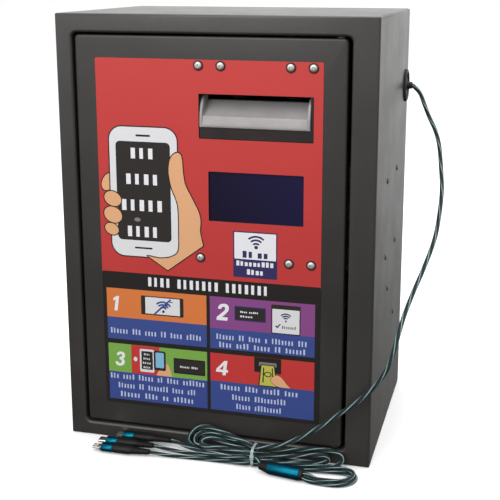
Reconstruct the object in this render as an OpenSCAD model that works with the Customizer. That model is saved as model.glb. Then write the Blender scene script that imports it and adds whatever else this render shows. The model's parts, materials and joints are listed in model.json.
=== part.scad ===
// Wall or counter kiosk built round a banknote validator: a sheet-steel cabinet
// with a hinged front panel, the validator, its note transport, stacker and cash
// box behind the panel, a display, a supply, and a captive three-headed lead.
// Frame: +Z up, front at -Y, origin at the middle of the base. Millimetres.

/* [Cabinet] */
// Outside width of the cabinet
cabinet_w = 290; // [285:1:300]
// Outside depth of the cabinet, front to back
cabinet_d = 207; // [205:1:215]
// Outside height of the cabinet
cabinet_h = 400; // [398:1:410]
// Thickness of the sheet steel
sheet_t = 1.5; // [1.2:0.1:2]
// Outside bend radius of the cabinet's edges
bend_r = 2.5; // [2:0.5:4]

/* [Front panel] */
// How far the panel's face sits behind the cabinet's front
panel_recess = 2; // [1.5:0.5:3]
// Depth of the panel's turned-back edges
panel_edge = 12; // [10:1:12]
// Corner radius of the panel
panel_corner = 4; // [3:0.5:5]
// Diameter of the pivot pins
pivot_d = 5; // [4:0.5:5]

/* [Note mouth] */
// Width of the mouth's window in the panel
mouth_w = 102.4; // [100:0.2:104]
// Height of the mouth's window in the panel
mouth_h = 39.4; // [38:0.2:40]
// Height of the note path through the validator
path_h = 5.2; // [4.8:0.1:5.4]

/* [Display] */
// Width of the display window
display_w = 86; // [80:1:88]
// Height of the display window
display_h = 44.9; // [40:0.1:46]

/* [Transport] */
// Diameter of the rubber drive rollers
roller_d = 13; // [12:0.5:13]
// Diameter of the roller shafts
shaft_d = 5; // [4:0.5:6]
// Radial clearance of every running fit
run_c = 0.05; // [0.02:0.01:0.1]

/* [Lead] */
// Diameter of the main braided lead
lead_d = 4.0; // [3.5:0.1:4.4]
// Diameter of each of the three short leads
branch_d = 3.4; // [3:0.1:3.6]

/* [Hidden] */
$fn = 32;
e = 1;
xl = -cabinet_w/2;  xr = cabinet_w/2;
yf = -cabinet_d/2;  yb = cabinet_d/2;
t = sheet_t;        H = cabinet_h;
// front opening and panel outline
ox0 = xl+15.6;  ox1 = xr-23;   oz0 = 13.6;  oz1 = H-16.6;
px0 = ox0+2;    px1 = ox1-3.6; pz0 = oz0+1.8; pz1 = oz1-1.8;
pf = yf+panel_recess;          // panel face
pb = pf+t;                     // back of the panel face
hx = px1-6.5;   hy = pf+5;     // pivot line
// windows
mx0 = -12.5;    mx1 = mx0+mouth_w;   mz0 = 293;  mz1 = mz0+mouth_h;
dx0 = -4.2;     dx1 = dx0+display_w; dz0 = 219.4; dz1 = dz0+display_h;
// panel screws, as seen from the front
screw_at = [[-12.2,356.7],[7.9,356.7],[69.8,356.7],[89.4,356.7],[-12.2,185.2],[69.2,185.2],[89.2,185.2]];
// cabinet parts
gy = 82.5; gz = 325;           // grommet
ly = -78;  lz = 225;           // lock
side_at = [[33.3,250],[-33.3,250],[33.3,178],[-33.3,178],[-14,142.4],[33.7,103.3]];
rear_at = [[-136,60],[-136,200],[-136,340],[136,60],[136,200],[136,340]];
// note path
pz = 326;                      // top of the lower guide
s1y = -68; s2y = -36; sz = pz-0.2-roller_d/2;  // roller shafts
my = -52;  mz = 300;           // motor
pulley_r = 8; motor_r = 4;

// ---- helpers: a box by its limits, round bars along each axis, flat outlines
module bx(x0,x1,y0,y1,z0,z1) translate([x0,y0,z0]) cube([x1-x0,y1-y0,z1-z0]);
module xc(y,z,x0,x1,r) translate([x0,y,z]) rotate([0,90,0]) cylinder(r=r,h=x1-x0);
module yc(x,z,y0,y1,r) translate([x,y0,z]) rotate([-90,0,0]) cylinder(r=r,h=y1-y0);
module zc(x,y,z0,z1,r) translate([x,y,z0]) cylinder(r=r,h=z1-z0);
module rr(a0,a1,b0,b1,r) translate([a0+r,b0+r]) offset(r=r) square([a1-a0-2*r,b1-b0-2*r]);
module xz(y0,y1) translate([0,y1,0]) rotate([90,0,0]) linear_extrude(y1-y0) children();
module yz(x0,x1) translate([x0,0,0]) rotate([90,0,90]) linear_extrude(x1-x0) children();
module xy(z0,z1) translate([0,0,z0]) linear_extrude(z1-z0) children();
// a round bar along a list of points
function unit(v) = v/norm(v);
function tang(p,i) = unit(p[min(i+1,len(p)-1)]-p[max(i-1,0)]);
function ring(p,i,r,n,ref) = let(d=tang(p,i), u=unit(cross(d,ref)), v=cross(d,u))
  [for (k=[0:n-1]) p[i]+r*(cos(360*k/n)*u+sin(360*k/n)*v)];
module tube(p,r,n=8,ref=[0,0,1]) {
  m = len(p);
  polyhedron(points=[for (i=[0:m-1]) each ring(p,i,r,n,ref)],
    faces=concat([[for (k=[0:n-1]) k]], [[for (k=[n-1:-1:0]) (m-1)*n+k]],
      [for (i=[0:m-2]) for (k=[0:n-1]) [i*n+k,(i+1)*n+(k+1)%n,i*n+(k+1)%n]],
      [for (i=[0:m-2]) for (k=[0:n-1]) [i*n+k,(i+1)*n+k,(i+1)*n+(k+1)%n]]));
}

// ---- cabinet
module cabinet_shell() color([.24,.23,.22]) difference() {
  union() {
    difference() {
      intersection() {
        xz(yf,yb) rr(xl,xr,0,H,bend_r);
        xy(0,H) rr(xl,xr,yf,yb,bend_r);
        yz(xl,xr) rr(yf,yb,0,H,bend_r);
      }
      bx(xl+t,xr-t,yf+t,yb-t,t,H-t);
      xz(yf-e,yf+t+e) rr(ox0,ox1,oz0,oz1,5);
      bx(xl+14,xr-14,yb-t-e,yb+e,14,H-14);
    }
    xz(yf+0.5,yf+12) difference() {
      rr(ox0-t,ox1+t,oz0-t,oz1+t,5+t);
      rr(ox0,ox1,oz0,oz1,5);
    }
  }
  zc(hx,hy,oz1-e,oz1+t+e,pivot_d/2+run_c);
  zc(hx,hy,oz0-t-e,oz0+e,pivot_d/2+run_c);
  xc(gy,gz,xr-t-e,xr+e,13);
  xc(ly,lz,xl-e,xl+t+e,9.55);
  for (p=side_at) xc(p[0],p[1],xr-t-e,xr+e,1.6);
  for (x=[-100,100]) for (y=[-70,70]) zc(x,y,-e,t+e,3.5);
  for (p=rear_at) yc(p[0],p[1],yb-t-e,yb+e,1.6);
}
module rear_panel() color([.30,.29,.28]) difference() {
  xz(yb-2*t,yb-t) rr(xl+5,xr-5,6,H-6,3);
  for (p=rear_at) yc(p[0],p[1],yb-2*t-e,yb-t+e,1.6);
  for (x=[-100,100]) for (z=[90,350]) yc(x,z,yb-2*t-e,yb-t+e,3);
  for (i=[0:6]) xz(yb-2*t-e,yb-t+e) rr(-45,45,250+i*12,254+i*12,1.9);
  bx(60.2,87.8,yb-2*t-e,yb-t+e,34.2,54.8);
  bx(20.2,41.8,yb-2*t-e,yb-t+e,34.2,53.8);
}
module rear_screws() color([.75,.75,.75]) for (p=rear_at) {
  yc(p[0],p[1],yb-2*t-4,yb+0.1,1.5);
  yc(p[0],p[1],yb,yb+1.6,3.2);
}
module side_screws() color([.15,.15,.15]) for (p=side_at) {
  xc(p[0],p[1],xr-8,xr+0.1,1.5);
  translate([xr,p[0],p[1]]) rotate([0,90,0]) cylinder(r1=3,r2=2.4,h=1.5);
}
module lead_grommet() color([.08,.08,.08]) translate([xr,gy,gz]) rotate([0,90,0]) {
  translate([0,0,-t-3]) cylinder(r=15,h=3,$fn=48);
  translate([0,0,-t-0.1]) cylinder(r=12.8,h=t+0.2,$fn=48);
  cylinder(r=17,h=3.5,$fn=48);
  translate([0,0,3.5]) cylinder(r1=15.5,r2=12,h=2.5,$fn=48);
  translate([0,0,6]) cylinder(r=4.5,h=1);
}
module hinge_pins() color([.7,.7,.72]) {
  zc(hx,hy,oz1-7.4,oz1+t+1,pivot_d/2); zc(hx,hy,oz1+t,oz1+t+2.5,4.5);
  zc(hx,hy,oz0-t-1,oz0+7.4,pivot_d/2); zc(hx,hy,oz0-t-2.5,oz0-t,4.5);
}
module lock_body() color([.78,.78,.8]) difference() {
  union() { xc(ly,lz,xl-2.5,xl,11); xc(ly,lz,xl,xl+17,9.5); }
  xc(ly,lz,xl-4,xl+20,5.5+run_c);
}
module lock_nut() color([.7,.7,.72]) difference() {
  translate([xl+t,ly,lz]) rotate([0,90,0]) cylinder(r=13.8,h=4,$fn=6);
  xc(ly,lz,xl+t-e,xl+t+5,9.55);
}
module lock_plug() color([.8,.8,.82]) difference() {
  union() { xc(ly,lz,xl-2.2,xl+21,5.5); xc(ly,lz,xl+20.5,xl+24.8,3); }
  bx(xl-3,xl+3,ly-0.6,ly+0.6,lz-3.4,lz+3.4);
}
module lock_cam() color([.7,.7,.7]) difference() {
  yz(xl+21.5,xl+23.8) hull() { translate([ly,lz]) circle(r=7); translate([ly-16,lz]) circle(r=4); }
  xc(ly,lz,xl+20.5,xl+25,3.05);
}
module psu_case() color([.72,.73,.75]) difference() {
  bx(108,xr-t,-42,42,164,264);
  for (p=[[33.3,250],[-33.3,250],[33.3,178],[-33.3,178]]) xc(p[0],p[1],xr-10,xr,1.6);
  for (i=[0:5]) bx(107,109.2,-30,30,184+i*12,189+i*12);
}
module router_case() color([.85,.85,.86]) difference() {
  yz(120,xr-t) rr(-26,46,90,154,4);
  xc(-14,142.4,xr-10,xr,1.6); xc(33.7,103.3,xr-10,xr,1.6);
  for (i=[0:2]) bx(124,136,45,47,98+i*16,110+i*16);
}
module mains_inlet() color([.07,.07,.07]) difference() {
  union() {
    xz(yb-t,yb+1) rr(54,94,31,58,4);
    bx(60.5,87.5,yb-24,yb-t+0.1,34.5,54.5);
  }
  xz(yb-16,yb+2) rr(62.8,85.2,36.8,52.2,3);
}
module switch_body() color([.07,.07,.07]) difference() {
  union() {
    xz(yb-t,yb+0.5) rr(17,45,31,57,2);
    bx(20.5,41.5,yb-18,yb-t+0.1,34.5,53.5);
  }
  bx(22.5,39.5,yb-13,yb+2,35.8,52.2);
  xc(yb-2,44,21.5,40.5,1.2+run_c);
}
module switch_rocker() color([.5,.08,.08]) translate([0,yb-2,44]) rotate([-8,0,0]) {
  translate([22.8,0,0]) rotate([90,0,90]) linear_extrude(16.4)
    polygon([[-3,-6.2],[3,-7],[1.8,0],[3,7],[-3,6.2]]);
  translate([21.8,0,0]) rotate([0,90,0]) cylinder(r=1.2,h=18.4);
}

// ---- front panel and what it carries
module door_panel() color([.23,.22,.21]) difference() {
  union() {
    xz(pf,pb) rr(px0,px1,pz0,pz1,panel_corner);
    xz(pf,pf+panel_edge) difference() {
      rr(px0,px1,pz0,pz1,panel_corner);
      rr(px0+t,px1-t,pz0+t,pz1-t,panel_corner-t);
    }
  }
  xz(pf-e,pb+e) rr(mx0,mx1,mz0,mz1,1);
  xz(pf-e,pb+e) rr(dx0,dx1,dz0,dz1,1);
  for (p=screw_at) yc(p[0],p[1],pf-e,pb+e,2.1);
  zc(hx,hy,pz1-t-e,pz1+e,4.02);
  zc(hx,hy,pz0-e,pz0+t+e,4.02);
}
module graphic_overlay() color([.80,.27,.25]) difference() {
  xz(pf-0.4,pf) rr(-108.1,97.9,36,361.7,1.5);
  xz(pf-e,pf+e) rr(mx0,mx1,mz0,mz1,1);
  xz(pf-e,pf+e) rr(dx0,dx1,dz0,dz1,1);
  for (p=screw_at) yc(p[0],p[1],pf-e,pf+e,2.1);
}
module door_screws() color([.72,.72,.72]) for (p=screw_at) {
  yc(p[0],p[1],pf-0.5,pb+6,2);
  translate([p[0],pf-0.4,p[1]]) rotate([90,0,0]) cylinder(r1=4.2,r2=3.2,h=2.2);
}
module hinge_bushes() color([.9,.9,.86]) difference() {
  union() {
    zc(hx,hy,pz1-t-0.9,pz1+0.1,4); zc(hx,hy,pz1,pz1+1.5,4.6);
    zc(hx,hy,pz0-0.1,pz0+t+0.9,4); zc(hx,hy,pz0-1.5,pz0,4.6);
  }
  zc(hx,hy,pz1-6,pz1+4,pivot_d/2+run_c);
  zc(hx,hy,pz0-4,pz0+6,pivot_d/2+run_c);
}
module door_keeper() color([.7,.7,.7]) {
  bx(px0+8.1,px0+20,pb,pb+1.5,191,216);
  bx(px0+8.1,px0+9.6,pb,ly+9,193,214);
  bx(px0+1.6,px0+9.6,ly+7.5,ly+9,193,214);
}
module mount_bracket() color([.7,.71,.72]) difference() {
  union() {
    xz(pb,pb+2) rr(-20,97.5,176,366,3);
    bx(-20,-18.2,pb,-30,281,347);
    bx(95.7,97.5,pb,-30,281,347);
  }
  xz(pb-e,pb+3) rr(mx0-0.5,mx1+0.5,290,336,1);
  xz(pb-e,pb+3) rr(-6,84,217,266.6,1);
  for (p=screw_at) yc(p[0],p[1],pb-e,pb+3,2.1);
}
module display_lens() color([.12,.10,.20,.6]) xz(pb,pb+1.4) rr(-5.8,83.8,217.2,266.4,1);
module lcd_module() color([.1,.1,.14]) {
  xz(pb+2,pb+7) rr(-9,87,214,269,1);
  xz(pb+1.6,pb+2.1) rr(-4,82,219,264.8,1);
}
module lcd_board() color([.1,.35,.2]) {
  xz(pb+7,pb+8.6) rr(-13,91,210,273,1);
  bx(10,34,pb+8.6,pb+11,230,242); bx(44,56,pb+8.6,pb+10.6,232,240); bx(60,72,pb+8.6,pb+14,214,224);
}
module controller_board() color([.1,.35,.2]) {
  xz(-96,-94.4) rr(-114,-34,60,160,2);
  bx(-92,-72,-94.4,-92.4,100,120); bx(-60,-48,-94.4,-92.8,90,106);
  bx(-110,-100,-94.4,-84,70,104); bx(-52,-38,-94.4,-85,124,152); bx(-84,-64,-94.4,-86,134,152);
}
module board_standoffs() color([.85,.8,.5]) for (x=[-109,-39]) for (z=[65,155]) yc(x,z,pb,-96,2.6);
module scoop_side() polygon([[-102.2,303.5],[-102.4,307],[-101.4,316],[-98.6,324],[-94.5,329],[-90,331.3],[-84.1,331.3],[-84.1,303.5]]);
module bill_scoop() color([.74,.74,.73]) {
  yz(-11.7,86.9) polygon([[-102.4,303.5],[-102.4,305.4],[-100.9,308],[-99.8,311.6],[-97.6,315],[-94,319],
    [-90,322.8],[-86.5,325.2],[-84.1,325.9],[-84.1,322.8],[-88,320.4],[-93,315.6],[-96.2,311],[-97,306],[-97,303.5]]);
  yz(-11.7,-9.2) scoop_side();
  yz(84.4,86.9) scoop_side();
}
module mouth_housing() color([.09,.085,.08]) difference() {
  union() {
    bx(-16.5,94,pb+2,-82,287,338);
    bx(mx0+0.4,mx1-0.4,-101,pb+2.1,mz0+0.3,303.4);
    bx(87.1,mx1-0.4,-100.6,pb+2.1,303,mz1-0.4);
  }
  bx(-11.9,87.1,-103,-84,303.4,331.6);
  bx(-8.5,85.5,-85,-81,pz,pz+path_h);
  bx(0,30,-97,-83,290,300); bx(45,75,-97,-83,290,300);
}
module transport_frame() color([.16,.16,.17]) difference() {
  union() {
    bx(-16.5,-14.5,-82,-16,284,350); bx(86,88,-82,-16,284,350);
    bx(-14.6,86.1,-82,-20,pz-2.5,pz);
    bx(-14.6,86.1,-82,-16,284,286);
    bx(87.9,95.7,-40,-38,334,346); bx(-18.2,-16.4,-40,-38,334,346);
  }
  for (y=[s1y,s2y]) {
    xc(y,sz,-18,89,shaft_d/2+run_c);
    for (x=[6,58]) bx(x-1,x+13,y-6.5,y+6.5,pz-4,pz+e);
  }
  xc(my,mz,85,89,4.05);
  for (s=[[-17,-14],[85,89]]) xc(-24,343,s[0],s[1],2+run_c);
}
module turn_guide() color([.16,.16,.17]) union() {
  yz(-14,85.8) intersection() {
    difference() { translate([-15.2,312]) circle(r=20.6,$fn=64); translate([-15.2,312]) circle(r=19.2,$fn=64); }
    translate([-15.2,312]) square(30);
  }
}
module belt_outline(g) offset(r=g) hull() {
  translate([s1y,sz]) circle(r=pulley_r+0.05);
  translate([s2y,sz]) circle(r=pulley_r+0.05);
  translate([my,mz]) circle(r=motor_r+0.05);
}
module drive_belt() color([.06,.06,.06]) yz(89.5,93.2) difference() { belt_outline(1.1); belt_outline(0); }
module transport_motor() color([.6,.6,.62]) difference() {
  union() { xc(my,mz,34,86,11); xc(my,mz,85.9,88,4); xc(my,mz,30,34.1,6); }
  xc(my,mz,78,89,1.5+run_c);
}
module motor_pulley() color([.8,.8,.78]) { xc(my,mz,79,94,1.5); xc(my,mz,89.2,93.6,motor_r); }
module roller_set(y) {
  color([.75,.75,.77]) xc(y,sz,-16.9,94.4,shaft_d/2);
  color([.1,.1,.1]) for (x=[6,58]) xc(y,sz,x,x+12,roller_d/2);
  color([.8,.8,.78]) xc(y,sz,89.2,93.6,pulley_r);
}
module front_rollers() roller_set(s1y);
module rear_rollers() roller_set(s2y);
module upper_guide() color([.2,.2,.21]) difference() {
  union() {
    bx(-14.1,85.6,-80.4,-20.5,pz+path_h,pz+path_h+2);
    for (x=[-14.1,83.6]) bx(x,x+2,-78,-20.5,pz+path_h,346);
    bx(-14.1,85.6,-79.4,-77.4,pz+path_h,340);
    xc(-24,343,-16.6,-12,2); xc(-24,343,83.5,88.1,2);
  }
  for (x=[16,48]) bx(x-1,x+9,s1y-6,s1y+6,pz+path_h-e,pz+path_h+3);
  xc(s1y,pz+path_h+6.5,-15,-12,1.5+run_c); xc(s1y,pz+path_h+6.5,83,86,1.5+run_c);
}
module pinch_rollers() color([.8,.8,.8]) {
  xc(s1y,pz+path_h+6.5,-13.9,85.4,1.5);
  for (x=[16,48]) xc(s1y,pz+path_h+6.5,x,x+8,6);
}
module sensor_board() color([.1,.35,.2]) {
  bx(-8,78,-60,-44,pz-6.6,pz-5);
  for (x=[24,36,48]) xc(-52,pz-4.2,x,x+3,1);
}
module stacker_frame() color([.17,.17,.18]) difference() {
  union() {
    bx(-16.5,-14.5,-80,-1,182,284); bx(92,94,-80,-1,182,284);
    bx(-14.6,92.1,-3,-1,182,284);
    bx(-14.6,92.1,-60,-57,182,284);
    bx(-14.6,92.1,-80,-78,182,208);
    bx(-15.5,-14.5,-80,-60,208,283); 
    for (p=[[14,232],[64,232]]) yc(p[0],p[1],-64,-50,6);
  }
  bx(4,74,-4,0,188,280);
  for (p=[[14,232],[64,232]]) yc(p[0],p[1],-66,-48,3+run_c);
}
module pusher_plate() color([.75,.75,.72]) {
  bx(8,70,-13.5,-11,192,276);
  for (p=[[14,232],[64,232]]) yc(p[0],p[1],-72,-13.4,3);
}
module cash_box() color([.19,.19,.2]) difference() {
  union() {
    difference() {
      bx(-13,90.5,6,64,176,340);
      bx(-14,88.5,8,62,178,338);
      bx(-3,80.5,5,9,188,328);
    }
    zc(-16.5,61.5,182,212,3); zc(-16.5,61.5,298,328,3);
    zc(-16.5,61.5,211,299,1.5);
    bx(-16.5,-12.5,62,64,182,212); bx(-16.5,-12.5,62,64,298,328);
    bx(80.6,88,-0.7,6.1,186,194); bx(-12.5,-5,-0.7,6.1,186,194);
  }
}
module cash_box_handle() color([.1,.1,.1]) union() {
  bx(14,20,64,78,262,270); bx(58,64,64,78,262,270);
  bx(14,64,74,80,260,272);
}
module cash_box_door() color([.22,.22,.23]) difference() {
  union() {
    bx(-15.3,-13.3,8.3,61.5,178.3,181.7); bx(-15.3,-13.3,8.3,57.8,178.3,337.7);
    bx(-15.3,-13.3,57,61.5,222,288);
    zc(-16.5,61.5,222,288,3);
    bx(-17.5,-15.2,12,16,240,270);
  }
  zc(-16.5,61.5,220,290,1.5+run_c);
}
module pressure_plate() color([.75,.75,.72]) union() {
  bx(-7,85,8.4,10.4,184,332);
  bx(-7,85,10.3,14,184,186); bx(-7,85,10.3,14,330,332);
}
coil = [for (i=[0:80]) let(a=i*360*5/80, y=11.4+i*49.6/80) [38.7+14*cos(a), y, 258+14*sin(a)]];
module plate_spring() color([.8,.8,.8]) tube(coil,0.8,6,[0,1,0]);

// ---- captive lead: each route is a list of round points along its middle
lead_route = [[152.2,82.5,325],[160,76,319],[166,68,308],[172,59,297],[179,49,286],[184,39,274],[188,23,255],
 [191,6,236],[191,-8,219],[189,-27,198],[182,-50,175],[175,-70,157],[170,-87,142],[167,-99,129],[164,-107,115],
 [159,-110,99],[152,-111,87],[144,-112,77],[133,-113,66],[122,-114,57],[110,-115,47],[98,-116,38],[86,-117,30],
 [75,-118,24],[64,-118,19.6],[52,-119,17]];
route_a = [[39,-127.4,3.2],[20,-127.4,2.4],[0,-127.4,2],[-20,-128.2,2],[-38,-130,2.6],[-53.6,-131.6,4.2]];
route_b = [[39,-123.8,3.2],[15,-123.8,2],[-8,-123.8,2],[-28,-123.4,2],[-42,-121.4,3.6],[-53.6,-120.6,5.2]];
route_c = [[39,-125.6,6.6],[15,-125.5,5.6],[-8,-125.4,5.6],[-24,-124,5.8],[-32,-118,6.4],[-41,-110.5,7]];
module lead_cord() color([.16,.30,.32]) tube(lead_route,lead_d/2,8);
module lead_hank() color([.16,.30,.32]) {
  xz(-121.5,-105.5) hull() { translate([-14,12.8]) circle(r=12.3); translate([34,10]) circle(r=5.5); }
  xz(-121.5,-109.5) rr(33,52,3,15.6,3);
  xz(-121.5,-105.5) hull() { translate([112,7.2]) circle(r=7); translate([50,8.6]) circle(r=5.4); }
}
module lead_tie() color([.9,.92,.9]) yz(41.2,44.4) difference() {
  rr(-130.6,-108,0,18,2.2);
  rr(-129.6,-109,1,17,1.4);
}
module splitter_sleeve() color([.12,.5,.64])
  translate([60,-135.6,5.9]) rotate([0,0,-9.5]) rotate([0,90,0]) cylinder(r=5.75,h=30,$fn=32);
module splitter_collars() color([.06,.06,.06])
  translate([60,-135.6,5.9]) rotate([0,0,-9.5]) rotate([0,90,0]) {
    translate([0,0,-9]) cylinder(r1=3.2,r2=5.2,h=9);
    translate([0,0,30]) cylinder(r=5.2,h=3);
  }
loop_at = [[99,-142],[118,-143.4],[131,-139.6],[135.6,-132.4],[130.6,-126.2],[100,-125.8],[43.5,-125.8]];
module branch_loop() color([.16,.30,.32]) xy(1.2,7.6)
  for (i=[0:len(loop_at)-2]) hull() { translate(loop_at[i]) circle(r=3.5,$fn=24); translate(loop_at[i+1]) circle(r=3.5,$fn=24); }
module plug_lead_a() color([.16,.30,.32]) tube(route_a,branch_d/2,8);
module plug_lead_b() color([.16,.30,.32]) tube(route_b,branch_d/2,8);
module plug_lead_c() color([.16,.30,.32]) tube(route_c,branch_d/2,8);
plug_at = [[-89.3,-132.6,4.4],[-89.3,-121,5.4],[-77,-109.3,7]];
module oval(w,h,l) rotate([90,0,90]) linear_extrude(l) scale([w/h,1]) circle(r=h/2,$fn=32);
module plug_boots() color([.06,.06,.06]) for (p=plug_at) translate(p)
  hull() { oval(9.6,7.4,20); translate([34,0,0]) oval(5.4,4.8,1); }
module plug_sleeves() color([.12,.5,.64]) for (p=plug_at) translate([p[0]-11.5,p[1],p[2]]) oval(10.2,7.8,11.5);
module plug_tip_a() color([.8,.8,.8]) translate([plug_at[0][0]-20,plug_at[0][1],plug_at[0][2]])
  xy(-0.8,0.8) translate([0,-3.85]) square([8.5,7.7]);
module plug_tip_b() color([.8,.8,.8]) translate([plug_at[1][0]-19,plug_at[1][1],plug_at[1][2]]) oval(8.3,2.6,7.5);
module plug_tip_c() color([.8,.8,.8]) translate([plug_at[2][0]-18,plug_at[2][1],plug_at[2][2]])
  rotate([90,0,90]) linear_extrude(6.5) polygon([[-3.4,0.9],[3.4,0.9],[3.4,-0.2],[2.6,-0.9],[-2.6,-0.9],[-3.4,-0.2]]);

cabinet_shell();
rear_panel();
rear_screws();
side_screws();
lead_grommet();
hinge_pins();
lock_body();
lock_nut();
lock_plug();
lock_cam();
psu_case();
router_case();
mains_inlet();
switch_body();
switch_rocker();
door_panel();
graphic_overlay();
door_screws();
hinge_bushes();
door_keeper();
mount_bracket();
display_lens();
lcd_module();
lcd_board();
controller_board();
board_standoffs();
bill_scoop();
mouth_housing();
transport_frame();
turn_guide();
drive_belt();
transport_motor();
motor_pulley();
front_rollers();
rear_rollers();
upper_guide();
pinch_rollers();
sensor_board();
stacker_frame();
pusher_plate();
cash_box();
cash_box_handle();
cash_box_door();
pressure_plate();
plate_spring();
lead_cord();
lead_hank();
lead_tie();
splitter_sleeve();
splitter_collars();
branch_loop();
plug_lead_a();
plug_lead_b();
plug_lead_c();
plug_boots();
plug_sleeves();
plug_tip_a();
plug_tip_b();
plug_tip_c();
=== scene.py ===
import bpy, bmesh, math, json
from mathutils import Vector, Matrix
from mathutils.geometry import tessellate_polygon


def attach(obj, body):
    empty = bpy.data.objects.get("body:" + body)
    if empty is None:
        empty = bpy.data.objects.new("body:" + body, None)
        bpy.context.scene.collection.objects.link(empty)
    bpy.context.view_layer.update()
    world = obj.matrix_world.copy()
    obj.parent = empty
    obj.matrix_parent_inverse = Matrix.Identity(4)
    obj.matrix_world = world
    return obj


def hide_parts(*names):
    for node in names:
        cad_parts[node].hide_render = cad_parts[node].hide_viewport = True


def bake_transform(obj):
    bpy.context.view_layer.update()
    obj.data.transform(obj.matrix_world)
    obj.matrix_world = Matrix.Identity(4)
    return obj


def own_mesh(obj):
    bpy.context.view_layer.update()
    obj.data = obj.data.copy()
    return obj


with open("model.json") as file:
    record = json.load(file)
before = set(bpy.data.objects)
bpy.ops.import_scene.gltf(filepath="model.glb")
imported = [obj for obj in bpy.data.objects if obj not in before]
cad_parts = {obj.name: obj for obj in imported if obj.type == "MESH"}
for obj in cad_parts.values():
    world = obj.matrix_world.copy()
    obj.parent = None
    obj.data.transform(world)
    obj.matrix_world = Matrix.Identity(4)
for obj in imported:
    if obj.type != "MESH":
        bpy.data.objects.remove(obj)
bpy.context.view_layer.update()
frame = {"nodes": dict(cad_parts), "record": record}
SC = bpy.context.scene
SC.view_settings.view_transform = "Standard"
SC.view_settings.look = "None"
MM = 0.001

# ------------------------------------------------------------------ camera
def rodrigues(r):
    v = Vector(r)
    return Matrix.Rotation(v.length, 3, v.normalized())

B = Matrix(((1, 0, 0), (0, 0, -1), (0, 1, 0)))
CAM_CX, CAM_CY, CAM_F = 261.8, 200.0, 998.2
CAM_LOC, CAM_ROT = (0.2594, -0.9230, 0.4334), (0.2212, 0.2550, 0.0295)
R = rodrigues(CAM_ROT) @ B
cam_data = bpy.data.cameras.new("camera")
cam = bpy.data.objects.new("camera", cam_data)
SC.collection.objects.link(cam)
right, down, fwd = R[0], R[1], R[2]
m = Matrix(((right[0], -down[0], -fwd[0]), (right[1], -down[1], -fwd[1]), (right[2], -down[2], -fwd[2])))
cam.matrix_world = Matrix.Translation(Vector(CAM_LOC)) @ m.to_4x4()
cam_data.sensor_width = 36
cam_data.lens = CAM_F / 500 * 36
cam_data.shift_x = (250 - CAM_CX) / 500
cam_data.shift_y = (CAM_CY - 250) / 500
cam_data.clip_start, cam_data.clip_end = 0.01, 60
SC.camera = cam

# ------------------------------------------------------------------ materials
def srgb(c):
    return tuple((x / 255 / 12.92) if x / 255 <= 0.04045 else ((x / 255 + 0.055) / 1.055) ** 2.4 for x in c) + (1.0,)

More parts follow.
